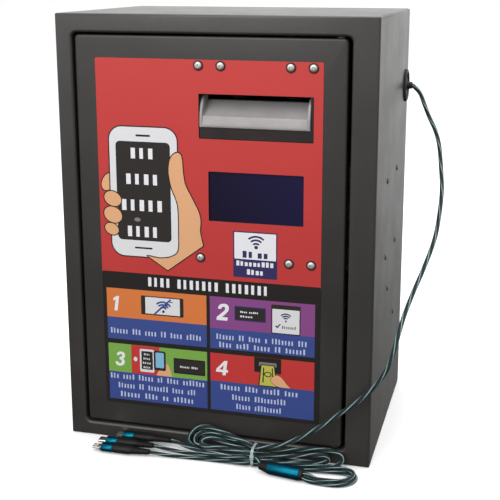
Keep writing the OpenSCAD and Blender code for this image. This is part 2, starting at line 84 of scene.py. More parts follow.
class Nodes:
    """Short names for shader nodes."""
    def __init__(self, name):
        self.m = bpy.data.materials.new(name)
        self.m.use_nodes = True
        self.t = self.m.node_tree
        self.p = self.t.nodes["Principled BSDF"]
        self.co = self.t.nodes.new("ShaderNodeTexCoord").outputs["Object"]
    def new(self, kind, **kw):
        n = self.t.nodes.new("ShaderNode" + kind)
        for k, v in kw.items():
            setattr(n, k, v)
        return n
    def put(self, sock, v):
        if isinstance(v, bpy.types.NodeSocket):
            self.t.links.new(v, sock)
        else:
            sock.default_value = v
    def math(self, op, a, b=None, c=None):
        n = self.new("Math", operation=op)
        for i, v in enumerate((a, b, c)):
            if v is not None:
                self.put(n.inputs[i], v)
        return n.outputs[0]
    def noise(self, scale, detail=3.0, rough=0.55, vec=None, dist=0.0):
        n = self.new("TexNoise")
        self.put(n.inputs["Vector"], vec or self.co)
        n.inputs["Scale"].default_value = scale
        n.inputs["Detail"].default_value = detail
        n.inputs["Roughness"].default_value = rough
        n.inputs["Distortion"].default_value = dist
        return n.outputs[0]
    def remap(self, v, a, b, lo, hi):
        n = self.new("MapRange")
        self.put(n.inputs[0], v)
        for i, x in enumerate((a, b, lo, hi)):
            self.put(n.inputs[i + 1], x)
        return n.outputs[0]
    def mix(self, f, a, b, mode="MIX"):
        n = self.new("Mix", data_type="RGBA", blend_type=mode)
        self.put(n.inputs[0], f)
        self.put(n.inputs[6], a)
        self.put(n.inputs[7], b)
        return n.outputs[2]
    def scaled(self, sx, sy, sz):
        n = self.new("Mapping")
        self.put(n.inputs["Vector"], self.co)
        n.inputs["Scale"].default_value = (sx, sy, sz)
        return n.outputs[0]
    def bevel(self, radius):
        n = self.new("Bevel", samples=6)
        n.inputs["Radius"].default_value = radius
        return n.outputs[0]
    def bump(self, height, strength, dist, normal=None):
        n = self.new("Bump")
        n.inputs["Strength"].default_value = strength
        n.inputs["Distance"].default_value = dist
        self.put(n.inputs["Height"], height)
        if normal is not None:
            self.put(n.inputs["Normal"], normal)
        return n.outputs[0]
    def edge(self, radius, lo=0.02, hi=0.25):
        """1 near a sharp edge, from the bevelled normal against the true one."""
        g = self.new("NewGeometry")
        d = self.new("VectorMath", operation="DOT_PRODUCT")
        self.put(d.inputs[0], self.bevel(radius))
        self.put(d.inputs[1], g.outputs["True Normal"])
        return self.remap(self.math("SUBTRACT", 1.0, d.outputs["Value"]), lo, hi, 0.0, 1.0)
    def xyz(self, vec=None):
        n = self.new("SeparateXYZ")
        self.put(n.inputs[0], vec or self.co)
        return n.outputs
    def done(self, base, rough, normal=None, metallic=0.0, coat=0.0, coat_rough=0.1, spec=0.5, ior=1.5, sheen=0.0, trans=0.0, alpha=1.0):
        p = self.p
        self.put(p.inputs["Base Color"], base)
        self.put(p.inputs["Roughness"], rough)
        if normal is not None:
            self.put(p.inputs["Normal"], normal)
        p.inputs["Metallic"].default_value = metallic
        p.inputs["Coat Weight"].default_value = coat
        p.inputs["Coat Roughness"].default_value = coat_rough
        p.inputs["Specular IOR Level"].default_value = spec
        p.inputs["IOR"].default_value = ior
        p.inputs["Sheen Weight"].default_value = sheen
        p.inputs["Transmission Weight"].default_value = trans
        p.inputs["Alpha"].default_value = alpha
        return self.m

def powder(name, c1, c2, rough=(0.36, 0.5), grain=2600, bump=0.35, edge_c=None, r=0.0009, spec=0.5):
    """Powder-coated sheet: pin-head grain, faint cloudiness, edges painted lighter in patches, partly worn paint and
    partly painted edge highlight.
    """
    n = Nodes(name)
    cloud = n.noise(9, 4)
    fine = n.noise(grain, 2)
    f = n.math("ADD", n.math("MULTIPLY", cloud, 0.6), n.math("MULTIPLY", fine, 0.4))
    col = n.mix(n.remap(f, 0.35, 0.65, 0.0, 1.0), srgb(c1), srgb(c2))
    # edges lightened in patches: partly worn paint, partly painted highlight along the edges
    if edge_c:
        e = n.math("MULTIPLY", n.edge(r), n.remap(n.noise(120, 4), 0.42, 0.62, 0.1, 0.7))
        col = n.mix(e, col, srgb(edge_c))
    smudge = n.noise(26, 5, 0.6)
    rr = n.remap(n.math("ADD", n.math("MULTIPLY", smudge, 0.6), n.math("MULTIPLY", fine, 0.4)), 0.35, 0.65, rough[0], rough[1])
    nb = n.bump(fine, bump, 0.00012, n.bevel(r))
    nb = n.bump(n.noise(380, 3), 0.12, 0.0004, nb)
    return n.done(col, rr, nb, spec=spec)

def plastic(name, c1, c2, rough=(0.3, 0.45), grain=1800, bump=0.12, r=0.0004, coat=0.0, edge_c=None, spec=0.4):
    n = Nodes(name)
    fine = n.noise(grain, 3)
    cloud = n.noise(40, 4)
    col = n.mix(n.remap(n.math("ADD", n.math("MULTIPLY", cloud, 0.5), n.math("MULTIPLY", fine, 0.5)), 0.38, 0.62, 0.0, 1.0), srgb(c1), srgb(c2))
    # edges painted lighter: partly wear, partly painted highlight along the edges
    if edge_c:
        col = n.mix(n.math("MULTIPLY", n.edge(r), 0.5), col, srgb(edge_c))
    rr = n.remap(n.noise(70, 5, 0.6), 0.35, 0.65, rough[0], rough[1])
    return n.done(col, rr, n.bump(fine, bump, 0.0001, n.bevel(r)), coat=coat, spec=spec)

def metal(name, c1, c2, rough=(0.25, 0.42), brush=None, bump=0.1, r=0.0003, metallic=1.0):
    """brush: axis along which the drawn lines run."""
    n = Nodes(name)
    if brush is not None:
        s = [900, 900, 900]
        s[brush] = 18
        line = n.noise(1.0, 4, 0.6, n.scaled(*s))
    else:
        line = n.noise(500, 4)
    cloud = n.noise(30, 4)
    col = n.mix(n.remap(n.math("ADD", n.math("MULTIPLY", cloud, 0.5), n.math("MULTIPLY", line, 0.5)), 0.35, 0.65, 0.0, 1.0), srgb(c1), srgb(c2))
    rr = n.remap(n.math("ADD", n.math("MULTIPLY", line, 0.5), n.math("MULTIPLY", n.noise(60, 5), 0.5)), 0.35, 0.65, rough[0], rough[1])
    return n.done(col, rr, n.bump(line, bump, 0.00006, n.bevel(r)), metallic=metallic)

def spangle(name):
    """Galvanised sheet with its crystal flakes."""
    n = Nodes(name)
    v = n.new("TexVoronoi")
    n.put(v.inputs["Vector"], n.co)
    v.inputs["Scale"].default_value = 160
    g = n.xyz(v.outputs["Color"])[0]
    col = n.mix(n.remap(g, 0.0, 1.0, 0.0, 1.0), srgb((168, 172, 176)), srgb((205, 208, 210)))
    rr = n.remap(g, 0.0, 1.0, 0.28, 0.5)
    return n.done(col, rr, n.bump(n.noise(700, 3), 0.08, 0.0001, n.bevel(0.0004)), metallic=0.9)

def board(name, plane=None):
    """Printed circuit board: green mask over copper tracks; anything past the plane in y is a dark moulded part."""
    n = Nodes(name)
    x, y, z = n.xyz()
    cells = n.new("TexBrick")
    v = n.new("CombineXYZ")
    n.put(v.inputs[0], x)
    n.put(v.inputs[1], z)
    n.put(cells.inputs["Vector"], v.outputs[0])
    cells.inputs["Scale"].default_value = 130
    cells.inputs["Mortar Size"].default_value = 0.03
    track = n.remap(n.noise(90, 2, 0.4, dist=2.5), 0.49, 0.51, 0.0, 1.0)
    pads = n.new("TexVoronoi")
    n.put(pads.inputs["Vector"], n.co)
    pads.inputs["Scale"].default_value = 260
    dot = n.remap(pads.outputs["Distance"], 0.16, 0.2, 1.0, 0.0)
    col = n.mix(track, srgb((18, 78, 42)), srgb((34, 112, 62)))
    col = n.mix(n.math("MULTIPLY", cells.outputs["Fac"], 0.3), col, srgb((46, 130, 76)))
    col = n.mix(n.math("MULTIPLY", dot, 0.8), col, srgb((196, 190, 168)))
    if plane is not None:
        col = n.mix(n.math("GREATER_THAN", y, plane), col, srgb((26, 26, 28)))
    return n.done(col, n.remap(track, 0.0, 1.0, 0.3, 0.42), n.bump(track, 0.2, 0.00008), coat=0.3)

def print_ink(name, c, c2=None, rough=(0.3, 0.42), spec=0.22):
    """Ink printed on a laminated film: colour painted lighter towards the top as painted light, tiny dot grain, a soft
    gloss.
    """
    n = Nodes(name)
    c2 = c2 or tuple(min(255, x * 1.06 + 3) for x in c)
    # painted light: the ink grows lighter towards the top, from the first colour to the second
    z = n.remap(n.xyz()[2], 0.03, 0.36, 0.0, 1.0)
    f = n.math("ADD", n.math("MULTIPLY", z, 0.7), n.math("MULTIPLY", n.noise(14, 4), 0.3))
    col = n.mix(f, srgb(c), srgb(c2))
    dots = n.noise(3000, 1)
    col = n.mix(n.math("MULTIPLY", dots, 0.06), col, srgb((205, 200, 196)))
    rr = n.remap(n.noise(18, 5, 0.6), 0.35, 0.65, rough[0], rough[1])
    nb = n.bump(n.noise(1600, 2), 0.06, 0.00008)
    nb = n.bump(n.noise(16, 2), 0.05, 0.0012, nb)
    return n.done(col, rr, nb, spec=spec)

def braid(name, circ):
    """Round braid: 12 bobbins each way, two under two over, with light tracer yarns in a long spiral."""
    n = Nodes(name)
    uv = n.new("UVMap")
    uv.uv_map = "along"
    u, v, _ = n.xyz(uv.outputs[0])
    k = 12 / circ * 1.15
    a = n.math("ADD", n.math("MULTIPLY", u, 12.0), n.math("MULTIPLY", v, k))
    b = n.math("SUBTRACT", n.math("MULTIPLY", u, 12.0), n.math("MULTIPLY", v, k))
    ra = n.math("ABSOLUTE", n.math("SINE", n.math("MULTIPLY", a, math.pi)))
    rb = n.math("ABSOLUTE", n.math("SINE", n.math("MULTIPLY", b, math.pi)))
    on = n.math("GREATER_THAN", n.math("PINGPONG", n.math("MULTIPLY", n.math("ADD", n.math("FLOOR", a), n.math("FLOOR", b)), 0.5), 1.0), 0.5)
    h = n.math("ADD", n.math("MULTIPLY", ra, on), n.math("MULTIPLY", rb, n.math("SUBTRACT", 1.0, on)))
    helix = n.math("ADD", n.math("MULTIPLY", u, 3.0), n.math("MULTIPLY", v, 42.0))
    wob = n.math("MULTIPLY", n.math("SUBTRACT", n.noise(260, 2), 0.5), 0.10)
    tri = n.math("PINGPONG", n.math("ADD", helix, wob), 0.5)
    tracer = n.remap(tri, 0.07, 0.11, 1.0, 0.0)
    fine = n.noise(2600, 3)
    # yarns darker where they dip under one another and lighter on their crowns: painted shade in the weave
    dark = n.mix(n.remap(h, 0.1, 1.0, 0.0, 1.0), srgb((3, 10, 12)), srgb((8, 34, 38)))
    dark = n.mix(n.math("MULTIPLY", fine, 0.25), dark, srgb((24, 62, 68)))
    light = n.mix(n.remap(h, 0.1, 1.0, 0.0, 1.0), srgb((74, 108, 108)), srgb((176, 208, 206)))
    col = n.mix(tracer, dark, light)
    rr = n.remap(tracer, 0.0, 1.0, 0.5, 0.36)
    nb = n.bump(h, 0.7, 0.00028)
    nb = n.bump(fine, 0.15, 0.0001, nb)
    return n.done(col, rr, nb, sheen=0.06, spec=0.35)

MAT = {}
# the edge_c colours below give lighter edges: partly worn finish, partly painted edge highlight
MAT["cabinet_paint"] = powder("cabinet_paint", (46, 43, 41), (58, 55, 52), (0.27, 0.38), edge_c=(100, 98, 93), r=0.0008, spec=0.5)
MAT["panel_paint"] = powder("panel_paint", (43, 40, 38), (54, 51, 48), (0.3, 0.42), edge_c=(112, 108, 102), spec=0.42)
MAT["zinc_steel"] = spangle("zinc_steel")
MAT["black_screw"] = metal("black_screw", (30, 30, 31), (52, 52, 54), (0.3, 0.5), metallic=0.6)
MAT["grommet_rubber"] = plastic("grommet_rubber", (24, 24, 24), (38, 37, 36), (0.5, 0.7), bump=0.3)
MAT["lock_chrome"] = metal("lock_chrome", (196, 198, 200), (225, 226, 228), (0.12, 0.26), brush=0)
MAT["psu_steel"] = spangle("psu_steel")
MAT["router_plastic"] = plastic("router_plastic", (214, 214, 212), (228, 228, 226), (0.35, 0.5))
MAT["black_plastic"] = plastic("black_plastic", (20, 20, 21), (32, 32, 33), (0.28, 0.42), edge_c=(60, 60, 62))
MAT["switch_red"] = plastic("switch_red", (150, 22, 20), (178, 34, 28), (0.2, 0.34), coat=0.3)
# the film's second colour is its painted lighter top
MAT["overlay_print"] = print_ink("overlay_print", (170, 33, 35), (200, 56, 52))
MAT["screw_head"] = metal("screw_head", (196, 193, 188), (224, 221, 216), (0.4, 0.54))
MAT["nylon_white"] = plastic("nylon_white", (226, 224, 214), (238, 236, 228), (0.35, 0.5))
MAT["lcd_black"] = plastic("lcd_black", (22, 20, 26), (34, 32, 40), (0.2, 0.35))
MAT["pcb_green"] = board("pcb_green", -0.0913)
MAT["mask_green"] = board("mask_green")
MAT["chip_black"] = plastic("chip_black", (24, 24, 25), (36, 36, 38), (0.4, 0.6), bump=0.3)
MAT["block_green"] = plastic("block_green", (40, 120, 84), (58, 142, 102), (0.35, 0.5))
MAT["relay_blue"] = plastic("relay_blue", (34, 70, 140), (50, 90, 160), (0.3, 0.45))
MAT["tinned"] = metal("tinned", (176, 178, 180), (208, 210, 212), (0.25, 0.4))
MAT["brass"] = metal("brass", (186, 150, 82), (214, 182, 112), (0.22, 0.38))
MAT["scoop_grey"] = plastic("scoop_grey", (146, 142, 142), (160, 156, 156), (0.28, 0.42), bump=0.08, edge_c=(196, 194, 192))
MAT["housing_black"] = plastic("housing_black", (32, 25, 23), (42, 34, 32), (0.36, 0.5), edge_c=(70, 64, 60), spec=0.3)
MAT["belt_rubber"] = plastic("belt_rubber", (22, 22, 22), (34, 34, 34), (0.55, 0.75), bump=0.4)
MAT["motor_steel"] = metal("motor_steel", (160, 162, 164), (196, 198, 200), (0.25, 0.4), brush=0)
MAT["pulley_plastic"] = plastic("pulley_plastic", (208, 206, 200), (224, 222, 216), (0.35, 0.5))
MAT["roller_rubber"] = plastic("roller_rubber", (30, 30, 31), (44, 44, 45), (0.55, 0.7), bump=0.35)
MAT["cash_box_black"] = powder("cash_box_black", (34, 34, 35), (46, 46, 48), (0.35, 0.5), edge_c=(86, 86, 88))
MAT["spring_steel"] = metal("spring_steel", (170, 172, 176), (206, 208, 212), (0.18, 0.3))
MAT["braid_teal"] = braid("braid_teal", math.pi * 0.004)
MAT["braid_small"] = braid("braid_small", math.pi * 0.0034)
MAT["anodised_blue"] = metal("anodised_blue", (8, 76, 98), (16, 102, 124), (0.26, 0.38), brush=0)
MAT["boot_black"] = plastic("boot_black", (16, 14, 14), (28, 26, 25), (0.42, 0.58), bump=0.25, spec=0.25)
MAT["tip_steel"] = metal("tip_steel", (186, 184, 178), (214, 212, 206), (0.2, 0.34), brush=0)
def tie_material():
    n = Nodes("tie_clear")
    col = n.mix(n.noise(300, 3), srgb((176, 196, 196)), srgb((206, 220, 218)))
    return n.done(col, n.remap(n.noise(200, 3), 0.3, 0.7, 0.2, 0.36), n.bump(n.noise(900, 2), 0.1, 0.0001), trans=0.35, coat=0.3)
MAT["tie_clear"] = tie_material()
def window_material():
    n = Nodes("display_window")
    x, y, z = n.xyz()
    # painted glow: the display is lighter towards its upper right
    painted_glow = n.remap(n.math("ADD", x, n.math("MULTIPLY", z, 0.6)), 0.13, 0.26, 0.0, 1.0)
    col = n.mix(painted_glow, srgb((20, 14, 36)), srgb((28, 24, 66)))
    return n.done(col, n.remap(n.noise(60, 4), 0.35, 0.65, 0.1, 0.2), n.bump(n.noise(40, 2), 0.03, 0.0006), spec=0.2)
MAT["display_window"] = window_material()
# each ink's second colour is its painted lighter top
INK = {
    "black": print_ink("ink_black", (12, 8, 7), (17, 11, 10), spec=0.08),
    "line": print_ink("ink_line", (30, 14, 14), spec=0.12),
    "white": print_ink("ink_white", (222, 222, 226)),
    "paper": print_ink("ink_paper", (211, 211, 213)),
    "orange": print_ink("ink_orange", (206, 112, 50)),
    "purple": print_ink("ink_purple", (126, 60, 124)),
    "green": print_ink("ink_green", (112, 160, 62)),
    "blue": print_ink("ink_blue", (40, 58, 132), (56, 84, 142), spec=0.16),
    "red": print_ink("ink_red", (184, 40, 38)),
    "navy": print_ink("ink_navy", (34, 30, 84), spec=0.14),
    "skin": print_ink("ink_skin", (214, 160, 116)),
    "sky": print_ink("ink_sky", (120, 176, 206)),
    "note": print_ink("ink_note", (182, 178, 70)),
    "screen": print_ink("ink_screen", (26, 22, 20), spec=0.14),
    "grey": print_ink("ink_grey", (118, 112, 110)),
    "caption": print_ink("ink_caption", (178, 186, 214)),
}

# ------------------------------------------------------------------ mesh helpers
def finish_bm(bm, name, mat, body, smooth=30.0):
    bmesh.ops.recalc_face_normals(bm, faces=bm.faces)
    for f in bm.faces:
        f.smooth = True
    lim = math.radians(smooth)
    for e in bm.edges:
        e.smooth = len(e.link_faces) == 2 and e.calc_face_angle(0.0) < lim
    me = bpy.data.meshes.new(name)
    bm.to_mesh(me)
    bm.free()
    ob = bpy.data.objects.new(name, me)
    SC.collection.objects.link(ob)
    me.materials.append(mat)
    if body:
        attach(ob, body)
    return ob

def loft(bm, rings, closed_ends=True):
    """rings: lists of points, all of one count; gives a closed skin."""
    vs = [[bm.verts.new(Vector(p) * MM) for p in r] for r in rings]
    n = len(vs[0])
    for a, b in zip(vs, vs[1:]):
        for i in range(n):
            bm.faces.new((a[i], a[(i + 1) % n], b[(i + 1) % n], b[i]))
    if closed_ends:
        bm.faces.new(vs[0][::-1])
        bm.faces.new(vs[-1])
    return vs

def lathe(bm, prof, axis, at, n=48, closed=True):
    """prof: (radius, along) in mm; a first or last radius of 0 closes to a point, and closed joins the last to the first."""
    ax = {"x": 0, "y": 1, "z": 2}[axis]
    rings = []
    for r, h in prof:
        ring = []
        for i in range(n):
            t = 2 * math.pi * i / n
            p = [0, 0, 0]
            p[ax] = h
            p[(ax + 1) % 3] = r * math.cos(t)
            p[(ax + 2) % 3] = r * math.sin(t)
            ring.append(Vector(p) + Vector(at))
        rings.append(ring)
    vs = []
    for (r, h), ring in zip(prof, rings):
        if r == 0:
            p = [0, 0, 0]
            p[ax] = h
            vs.append([bm.verts.new((Vector(p) + Vector(at)) * MM)])
        else:
            vs.append([bm.verts.new(p * MM) for p in ring])
    pairs = list(zip(vs, vs[1:]))
    if closed and len(vs[0]) > 1 and len(vs[-1]) > 1:
        pairs.append((vs[-1], vs[0]))
    for a, b in pairs:
        for i in range(n):
            j = (i + 1) % n
            if len(a) == 1 and len(b) == 1:
                continue
            if len(a) == 1:
                bm.faces.new((a[0], b[j], b[i]))
            elif len(b) == 1:
                bm.faces.new((a[i], a[j], b[0]))
            else:
                bm.faces.new((a[i], a[j], b[j], b[i]))

def rr2(a0, a1, b0, b1, r, k=6):
    """A rounded rectangle as points, counter-clockwise."""
    out = []
    for cx, cy, s in ((a1 - r, b1 - r, 0), (a0 + r, b1 - r, 90), (a0 + r, b0 + r, 180), (a1 - r, b0 + r, 270)):
        for i in range(k + 1):
            t = math.radians(s + 90 * i / k)
            out.append((cx + r * math.cos(t), cy + r * math.sin(t)))
    return out

def catmull(p, step, closed=False):
    """Centripetal curve through the points, sampled evenly."""
    p = [Vector(q) for q in p]
    ext = [p[0] * 2 - p[1]] + p + [p[-1] * 2 - p[-2]]
    dense = []
    for i in range(1, len(ext) - 2):
        p0, p1, p2, p3 = ext[i - 1:i + 3]
        t0 = 0.0
        t1 = t0 + max((p1 - p0).length, 1e-6) ** 0.5
        t2 = t1 + max((p2 - p1).length, 1e-6) ** 0.5
        t3 = t2 + max((p3 - p2).length, 1e-6) ** 0.5
        for j in range(24):
            t = t1 + (t2 - t1) * j / 24
            a1 = p0 * ((t1 - t) / (t1 - t0)) + p1 * ((t - t0) / (t1 - t0))
            a2 = p1 * ((t2 - t) / (t2 - t1)) + p2 * ((t - t1) / (t2 - t1))
            a3 = p2 * ((t3 - t) / (t3 - t2)) + p3 * ((t - t2) / (t3 - t2))
            b1 = a1 * ((t2 - t) / (t2 - t0)) + a2 * ((t - t0) / (t2 - t0))
            b2 = a2 * ((t3 - t) / (t3 - t1)) + a3 * ((t - t1) / (t3 - t1))
            dense.append(b1 * ((t2 - t) / (t2 - t1)) + b2 * ((t - t1) / (t2 - t1)))
    dense.append(p[-1])
    s = [0.0]
    for a, b in zip(dense, dense[1:]):
        s.append(s[-1] + (b - a).length)
    total = s[-1]
    n = max(2, round(total / step))
    out, k = [], 0
    for i in range(n + 1):
        d = total * i / n
        while k < len(s) - 2 and s[k + 1] < d:
            k += 1
        w = (d - s[k]) / max(s[k + 1] - s[k], 1e-9)
        out.append(dense[k].lerp(dense[k + 1], w))
    return out, total

def relax(p, rounds=2):
    for _ in range(rounds):
        p = [p[0]] + [p[i] * 0.5 + (p[i - 1] + p[i + 1]) * 0.25 for i in range(1, len(p) - 1)] + [p[-1]]
    return p

def tube(name, pts, r, mat, sides=14, wave=None):
    """A round cord along evenly spaced points, with its own along-and-round map."""
    bm = bmesh.new()
    lay = bm.loops.layers.uv.new("along")
    n = len(pts)
    tang = [(pts[min(i + 1, n - 1)] - pts[max(i - 1, 0)]).normalized() for i in range(n)]
    u = tang[0].orthogonal().normalized()
    rings, s = [], 0.0
    dist = []
    for i in range(n):
        if i:
            s += (pts[i] - pts[i - 1]).length
            q = tang[i - 1].rotation_difference(tang[i])
            u = q @ u
            u = (u - tang[i] * u.dot(tang[i])).normalized()
        w = tang[i].cross(u)
        dist.append(s * MM)
        rings.append([bm.verts.new((pts[i] + (u * math.cos(2 * math.pi * k / sides) + w * math.sin(2 * math.pi * k / sides)) * r) * MM) for k in range(sides)])
    for i in range(n - 1):
        for k in range(sides):
            k2 = (k + 1) % sides
            f = bm.faces.new((rings[i][k], rings[i][k2], rings[i + 1][k2], rings[i + 1][k]))
            for loop, uv in zip(f.loops, ((k / sides, dist[i]), ((k + 1) / sides, dist[i]), ((k + 1) / sides, dist[i + 1]), (k / sides, dist[i + 1]))):
                loop[lay].uv = uv
    bm.faces.new(rings[0][::-1])
    bm.faces.new(rings[-1])
    return finish_bm(bm, name, mat, None, smooth=60)

# ------------------------------------------------------------------ cords
LEAD_D, BRANCH_D = 4.0, 3.4
MAIN = [(152.2, 82.5, 325), (160, 76, 319), (166, 68, 308), (172, 59, 297), (179, 49, 286), (184, 39, 274), (188, 23, 255),
        (191, 6, 236), (191, -8, 219), (189, -27, 198), (182, -50, 175), (175, -70, 157), (170, -87, 142), (167, -99, 129),
        (164, -107, 115), (159, -110, 99), (152, -111, 87), (144, -112, 77), (133, -113, 66), (122, -114, 57), (110, -115, 47),
        (98, -116, 38), (86, -117, 30), (75, -118, 24), (64, -118.4, 19.6), (42.8, -118.5, 14.8),
        # outer left bow
        (34, -115.5, 17), (20.7, -110.5, 18.6), (7, -107.4, 21), (-4, -106.2, 23.4), (-14.4, -106.2, 21.9), (-22, -106.2, 15.5),
        (-25, -106.8, 8.8), (-21, -109, 4.2), (-12, -112.5, 2.2), (-1, -116, 2.1), (10, -118.6, 2.1), (22, -120.4, 2.8), (34, -121.6, 4.6),
        (42.8, -121.8, 5.8),
        # outer right bow
        (55, -120.5, 4.2), (68, -118, 2.4), (82, -116.8, 2.2), (96, -115.8, 2.2), (108, -114.6, 2.4), (117, -112.4, 3.6), (121.8, -109, 7),
        (120.6, -106.6, 11), (114, -106, 13.6), (103, -106, 14.2), (90, -106, 13.2), (76, -107.2, 11.2), (60, -110.6, 11), (50, -112.8, 12.2),
        (42.8, -113.9, 12.6),
        # middle left bow
        (34, -111.8, 14.1), (22, -108.6, 14.6), (9, -106.6, 16.4), (-3, -106.3, 18.6), (-12, -106.6, 17.2), (-17.4, -107.4, 12.4),
        (-17.4, -109, 7.8), (-11, -111.7, 6.2), (0, -114.6, 6.2), (12, -116.6, 6.4), (25, -117.7, 5.6), (35, -117.6, 4.8), (42.8, -117.4, 4.4),
        # inner right bow
        (50, -116.6, 3.6), (62, -113.6, 2.4), (76, -111.6, 2.2), (90, -110.6, 2.2), (101, -109.6, 2.8), (109.4, -108.4, 6), (107, -109.4, 10.2),
        (98, -110.2, 10.6), (84, -111.2, 8.6), (70, -114.2, 7.4), (56, -116.6, 8.2), (42.8, -116.9, 8.9),
        # inner left bow, then into the splitter
        (34, -115.2, 10.2), (24, -113, 10.4), (14, -111, 12), (4, -110.4, 14.4), (-4, -110.6, 14.8), (-10, -111.4, 12.6),
        (-10.6, -113.4, 9.4), (-4, -115.6, 8.8), (6, -117.4, 9.8), (18, -119.2, 10.4), (30, -121.6, 10.4), (42.8, -124.6, 10),
        (48.5, -128.6, 8.6), (51.5, -133.2, 6.5), (54.2, -134.63, 5.95)]
main_pts, main_len = catmull(MAIN, 1.4)
main_pts = relax(main_pts, 3)
lead = tube("lead_braided", main_pts, LEAD_D / 2, MAT["braid_teal"])

SPL_ANG = math.radians(-9.5)
SPL_AT = Vector((60, -135.6, 5.9))
def spl(x, y=0.0, z=0.0):
    """A point in the splitter's own frame, along its axis from its left end."""
    return SPL_AT + Vector((x * math.cos(SPL_ANG) - y * math.sin(SPL_ANG), x * math.sin(SPL_ANG) + y * math.cos(SPL_ANG), z))

LOOP = [(104, -142.7), (114, -143.4), (123, -142.5), (130.5, -138.6), (134.6, -132), (134.2, -125.8), (129.5, -121.8),
        (122, -120.8), (110, -121.6), (96, -123), (80, -124.1), (64, -124.9), (52, -125.3), (42.8, -125.6)]
def offset_path(off, z0, z1):
    out = []
    for i, p in enumerate(LOOP):
        a = Vector(LOOP[max(i - 1, 0)])
        b = Vector(LOOP[min(i + 1, len(LOOP) - 1)])
        t = (b - a).normalized()
        nrm = Vector((t.y, -t.x))
        k = i / (len(LOOP) - 1)
        q = Vector(p) + nrm * off
        out.append((q.x, q.y, z0 + (z1 - z0) * k))
    return out
BR = {
    "a": [tuple(spl(31.5, -2.0, -1.0)), tuple(spl(38, -2.4, -3.4))] + offset_path(2.1, 1.9, 3.0)
         + [(39, -127.6, 3.2), (20, -127.6, 2.4), (0, -127.6, 2), (-20, -128.4, 2), (-38, -130, 2.6), (-53.6, -131.6, 4.2)],
    "b": [tuple(spl(31.5, 2.0, -1.0)), tuple(spl(38, 2.4, -3.4))] + offset_path(-1.7, 1.9, 3.0)
         + [(39, -123.9, 3.2), (15, -123.4, 2), (0, -121.8, 1.9), (-14, -120.2, 1.9), (-28, -119.6, 2), (-42, -120, 3.4), (-53.6, -120.6, 5.2)],
    "c": [tuple(spl(31.5, 0, 1.8)), tuple(spl(38, 0, 1.2))] + offset_path(0.2, 5.2, 6.6)
         + [(39, -125.8, 6.6), (15, -125.0, 5.6), (0, -122.6, 5.3), (-12, -119, 5.4), (-24, -114.4, 5.2), (-33, -110.6, 6), (-41, -109.3, 7)],
}
branches, br_pts, br_len = {}, {}, {}
for k, p in BR.items():
    pts, ln = catmull(p, 1.3)
    br_pts[k] = relax(pts, 3)
    br_len[k] = ln
    branches[k] = tube("lead_branch_" + k, br_pts[k], BRANCH_D / 2, MAT["braid_small"], 12)
print("LENGTHS", round(main_len), {k: round(v) for k, v in br_len.items()})

# ------------------------------------------------------------------ pieces on the cords
def oval_ring(c, w, h, n=36, p=2.0):
    """Ring across X at centre c, of full width w (Y) and height h (Z)."""
    out = []
    for i in range(n):
        t = 2 * math.pi * i / n
        cy, sz = math.cos(t), math.sin(t)
        e = 2 / p
        out.append((c[0], c[1] + w / 2 * math.copysign(abs(cy) ** e, cy), c[2] + h / 2 * math.copysign(abs(sz) ** e, sz)))
    return out

def sleeve_piece(name, x0, x1, at, w, h, mat, edge=0.5):
    bm = bmesh.new()
    prof = [(x0, -1.2), (x0, -edge), (x0 + edge * 0.35, -edge * 0.35), (x0 + edge, 0), (x1 - edge, 0), (x1 - edge * 0.35, -edge * 0.35), (x1, -edge), (x1, -1.2)]
    loft(bm, [oval_ring((x, at[1], at[2]), w + 2 * d, h + 2 * d, 40) for x, d in prof])
    return finish_bm(bm, name, mat, "front_door", 40)

PLUGS = {"a": (-89.3, -132.6, 4.4), "b": (-89.3, -121.0, 5.4), "c": (-77.0, -109.3, 7.0)}
for k, at in PLUGS.items():
    bm = bmesh.new()
    end = br_pts[k][-1]
    prof = [(-0.4, 8.6, 6.4), (0, 9.4, 7.2), (0.8, 9.8, 7.6), (9, 9.7, 7.5), (14, 9.5, 7.3), (17, 9.0, 7.0), (18.2, 8.2, 6.6)]
    x = 18.2
    for i in range(8):
        w = 7.9 - i * 0.32
        h = 6.5 - i * 0.23
        prof += [(x + 0.2, w, h), (x + 1.25, w - 0.1, h - 0.05), (x + 1.45, w - 1.3, h - 1.2), (x + 2.0, w - 1.4, h - 1.3)]
        x += 2.05
    prof += [(35.0, 4.9, 4.5), (35.3, 4.2, 4.0)]
    bm2 = []
    for dx, w, h in prof:
        f = max(0.0, min(1.0, (dx - 20) / 15))
        cy = at[1] + (end.y - at[1]) * f
        cz = at[2] + (end.z - at[2]) * f
        bm2.append(oval_ring((at[0] + dx, cy, cz), w, h, 36, 2.0 if dx > 16 else 2.3))
    loft(bm, bm2)
    boot = finish_bm(bm, "plug_boot_" + k, MAT["boot_black"], "front_door", 35)
    sl = sleeve_piece("plug_sleeve_" + k, at[0] - 11.5, at[0], at, 10.2, 7.8, MAT["anodised_blue"])

def box_bm(bm, x0, x1, y0, y1, z0, z1, r=0.2, axis=0):
    """A small block with rounded long edges, along the axis."""
    def ring(t, d):
        if axis == 0:
            return [(t, a, b) for a, b in rr2(y0 + d, y1 - d, z0 + d, z1 - d, r, 4)]
        if axis == 1:
            return [(a, t, b) for a, b in rr2(x0 + d, x1 - d, z0 + d, z1 - d, r, 4)][::-1]
        return [(a, b, t) for a, b in rr2(x0 + d, x1 - d, y0 + d, y1 - d, r, 4)]
    lo, hi = ((x0, x1), (y0, y1), (z0, z1))[axis]
    c = min(0.18, (hi - lo) / 5)
    loft(bm, [ring(lo, c), ring(lo + c, 0), ring(hi - c, 0), ring(hi, c)])

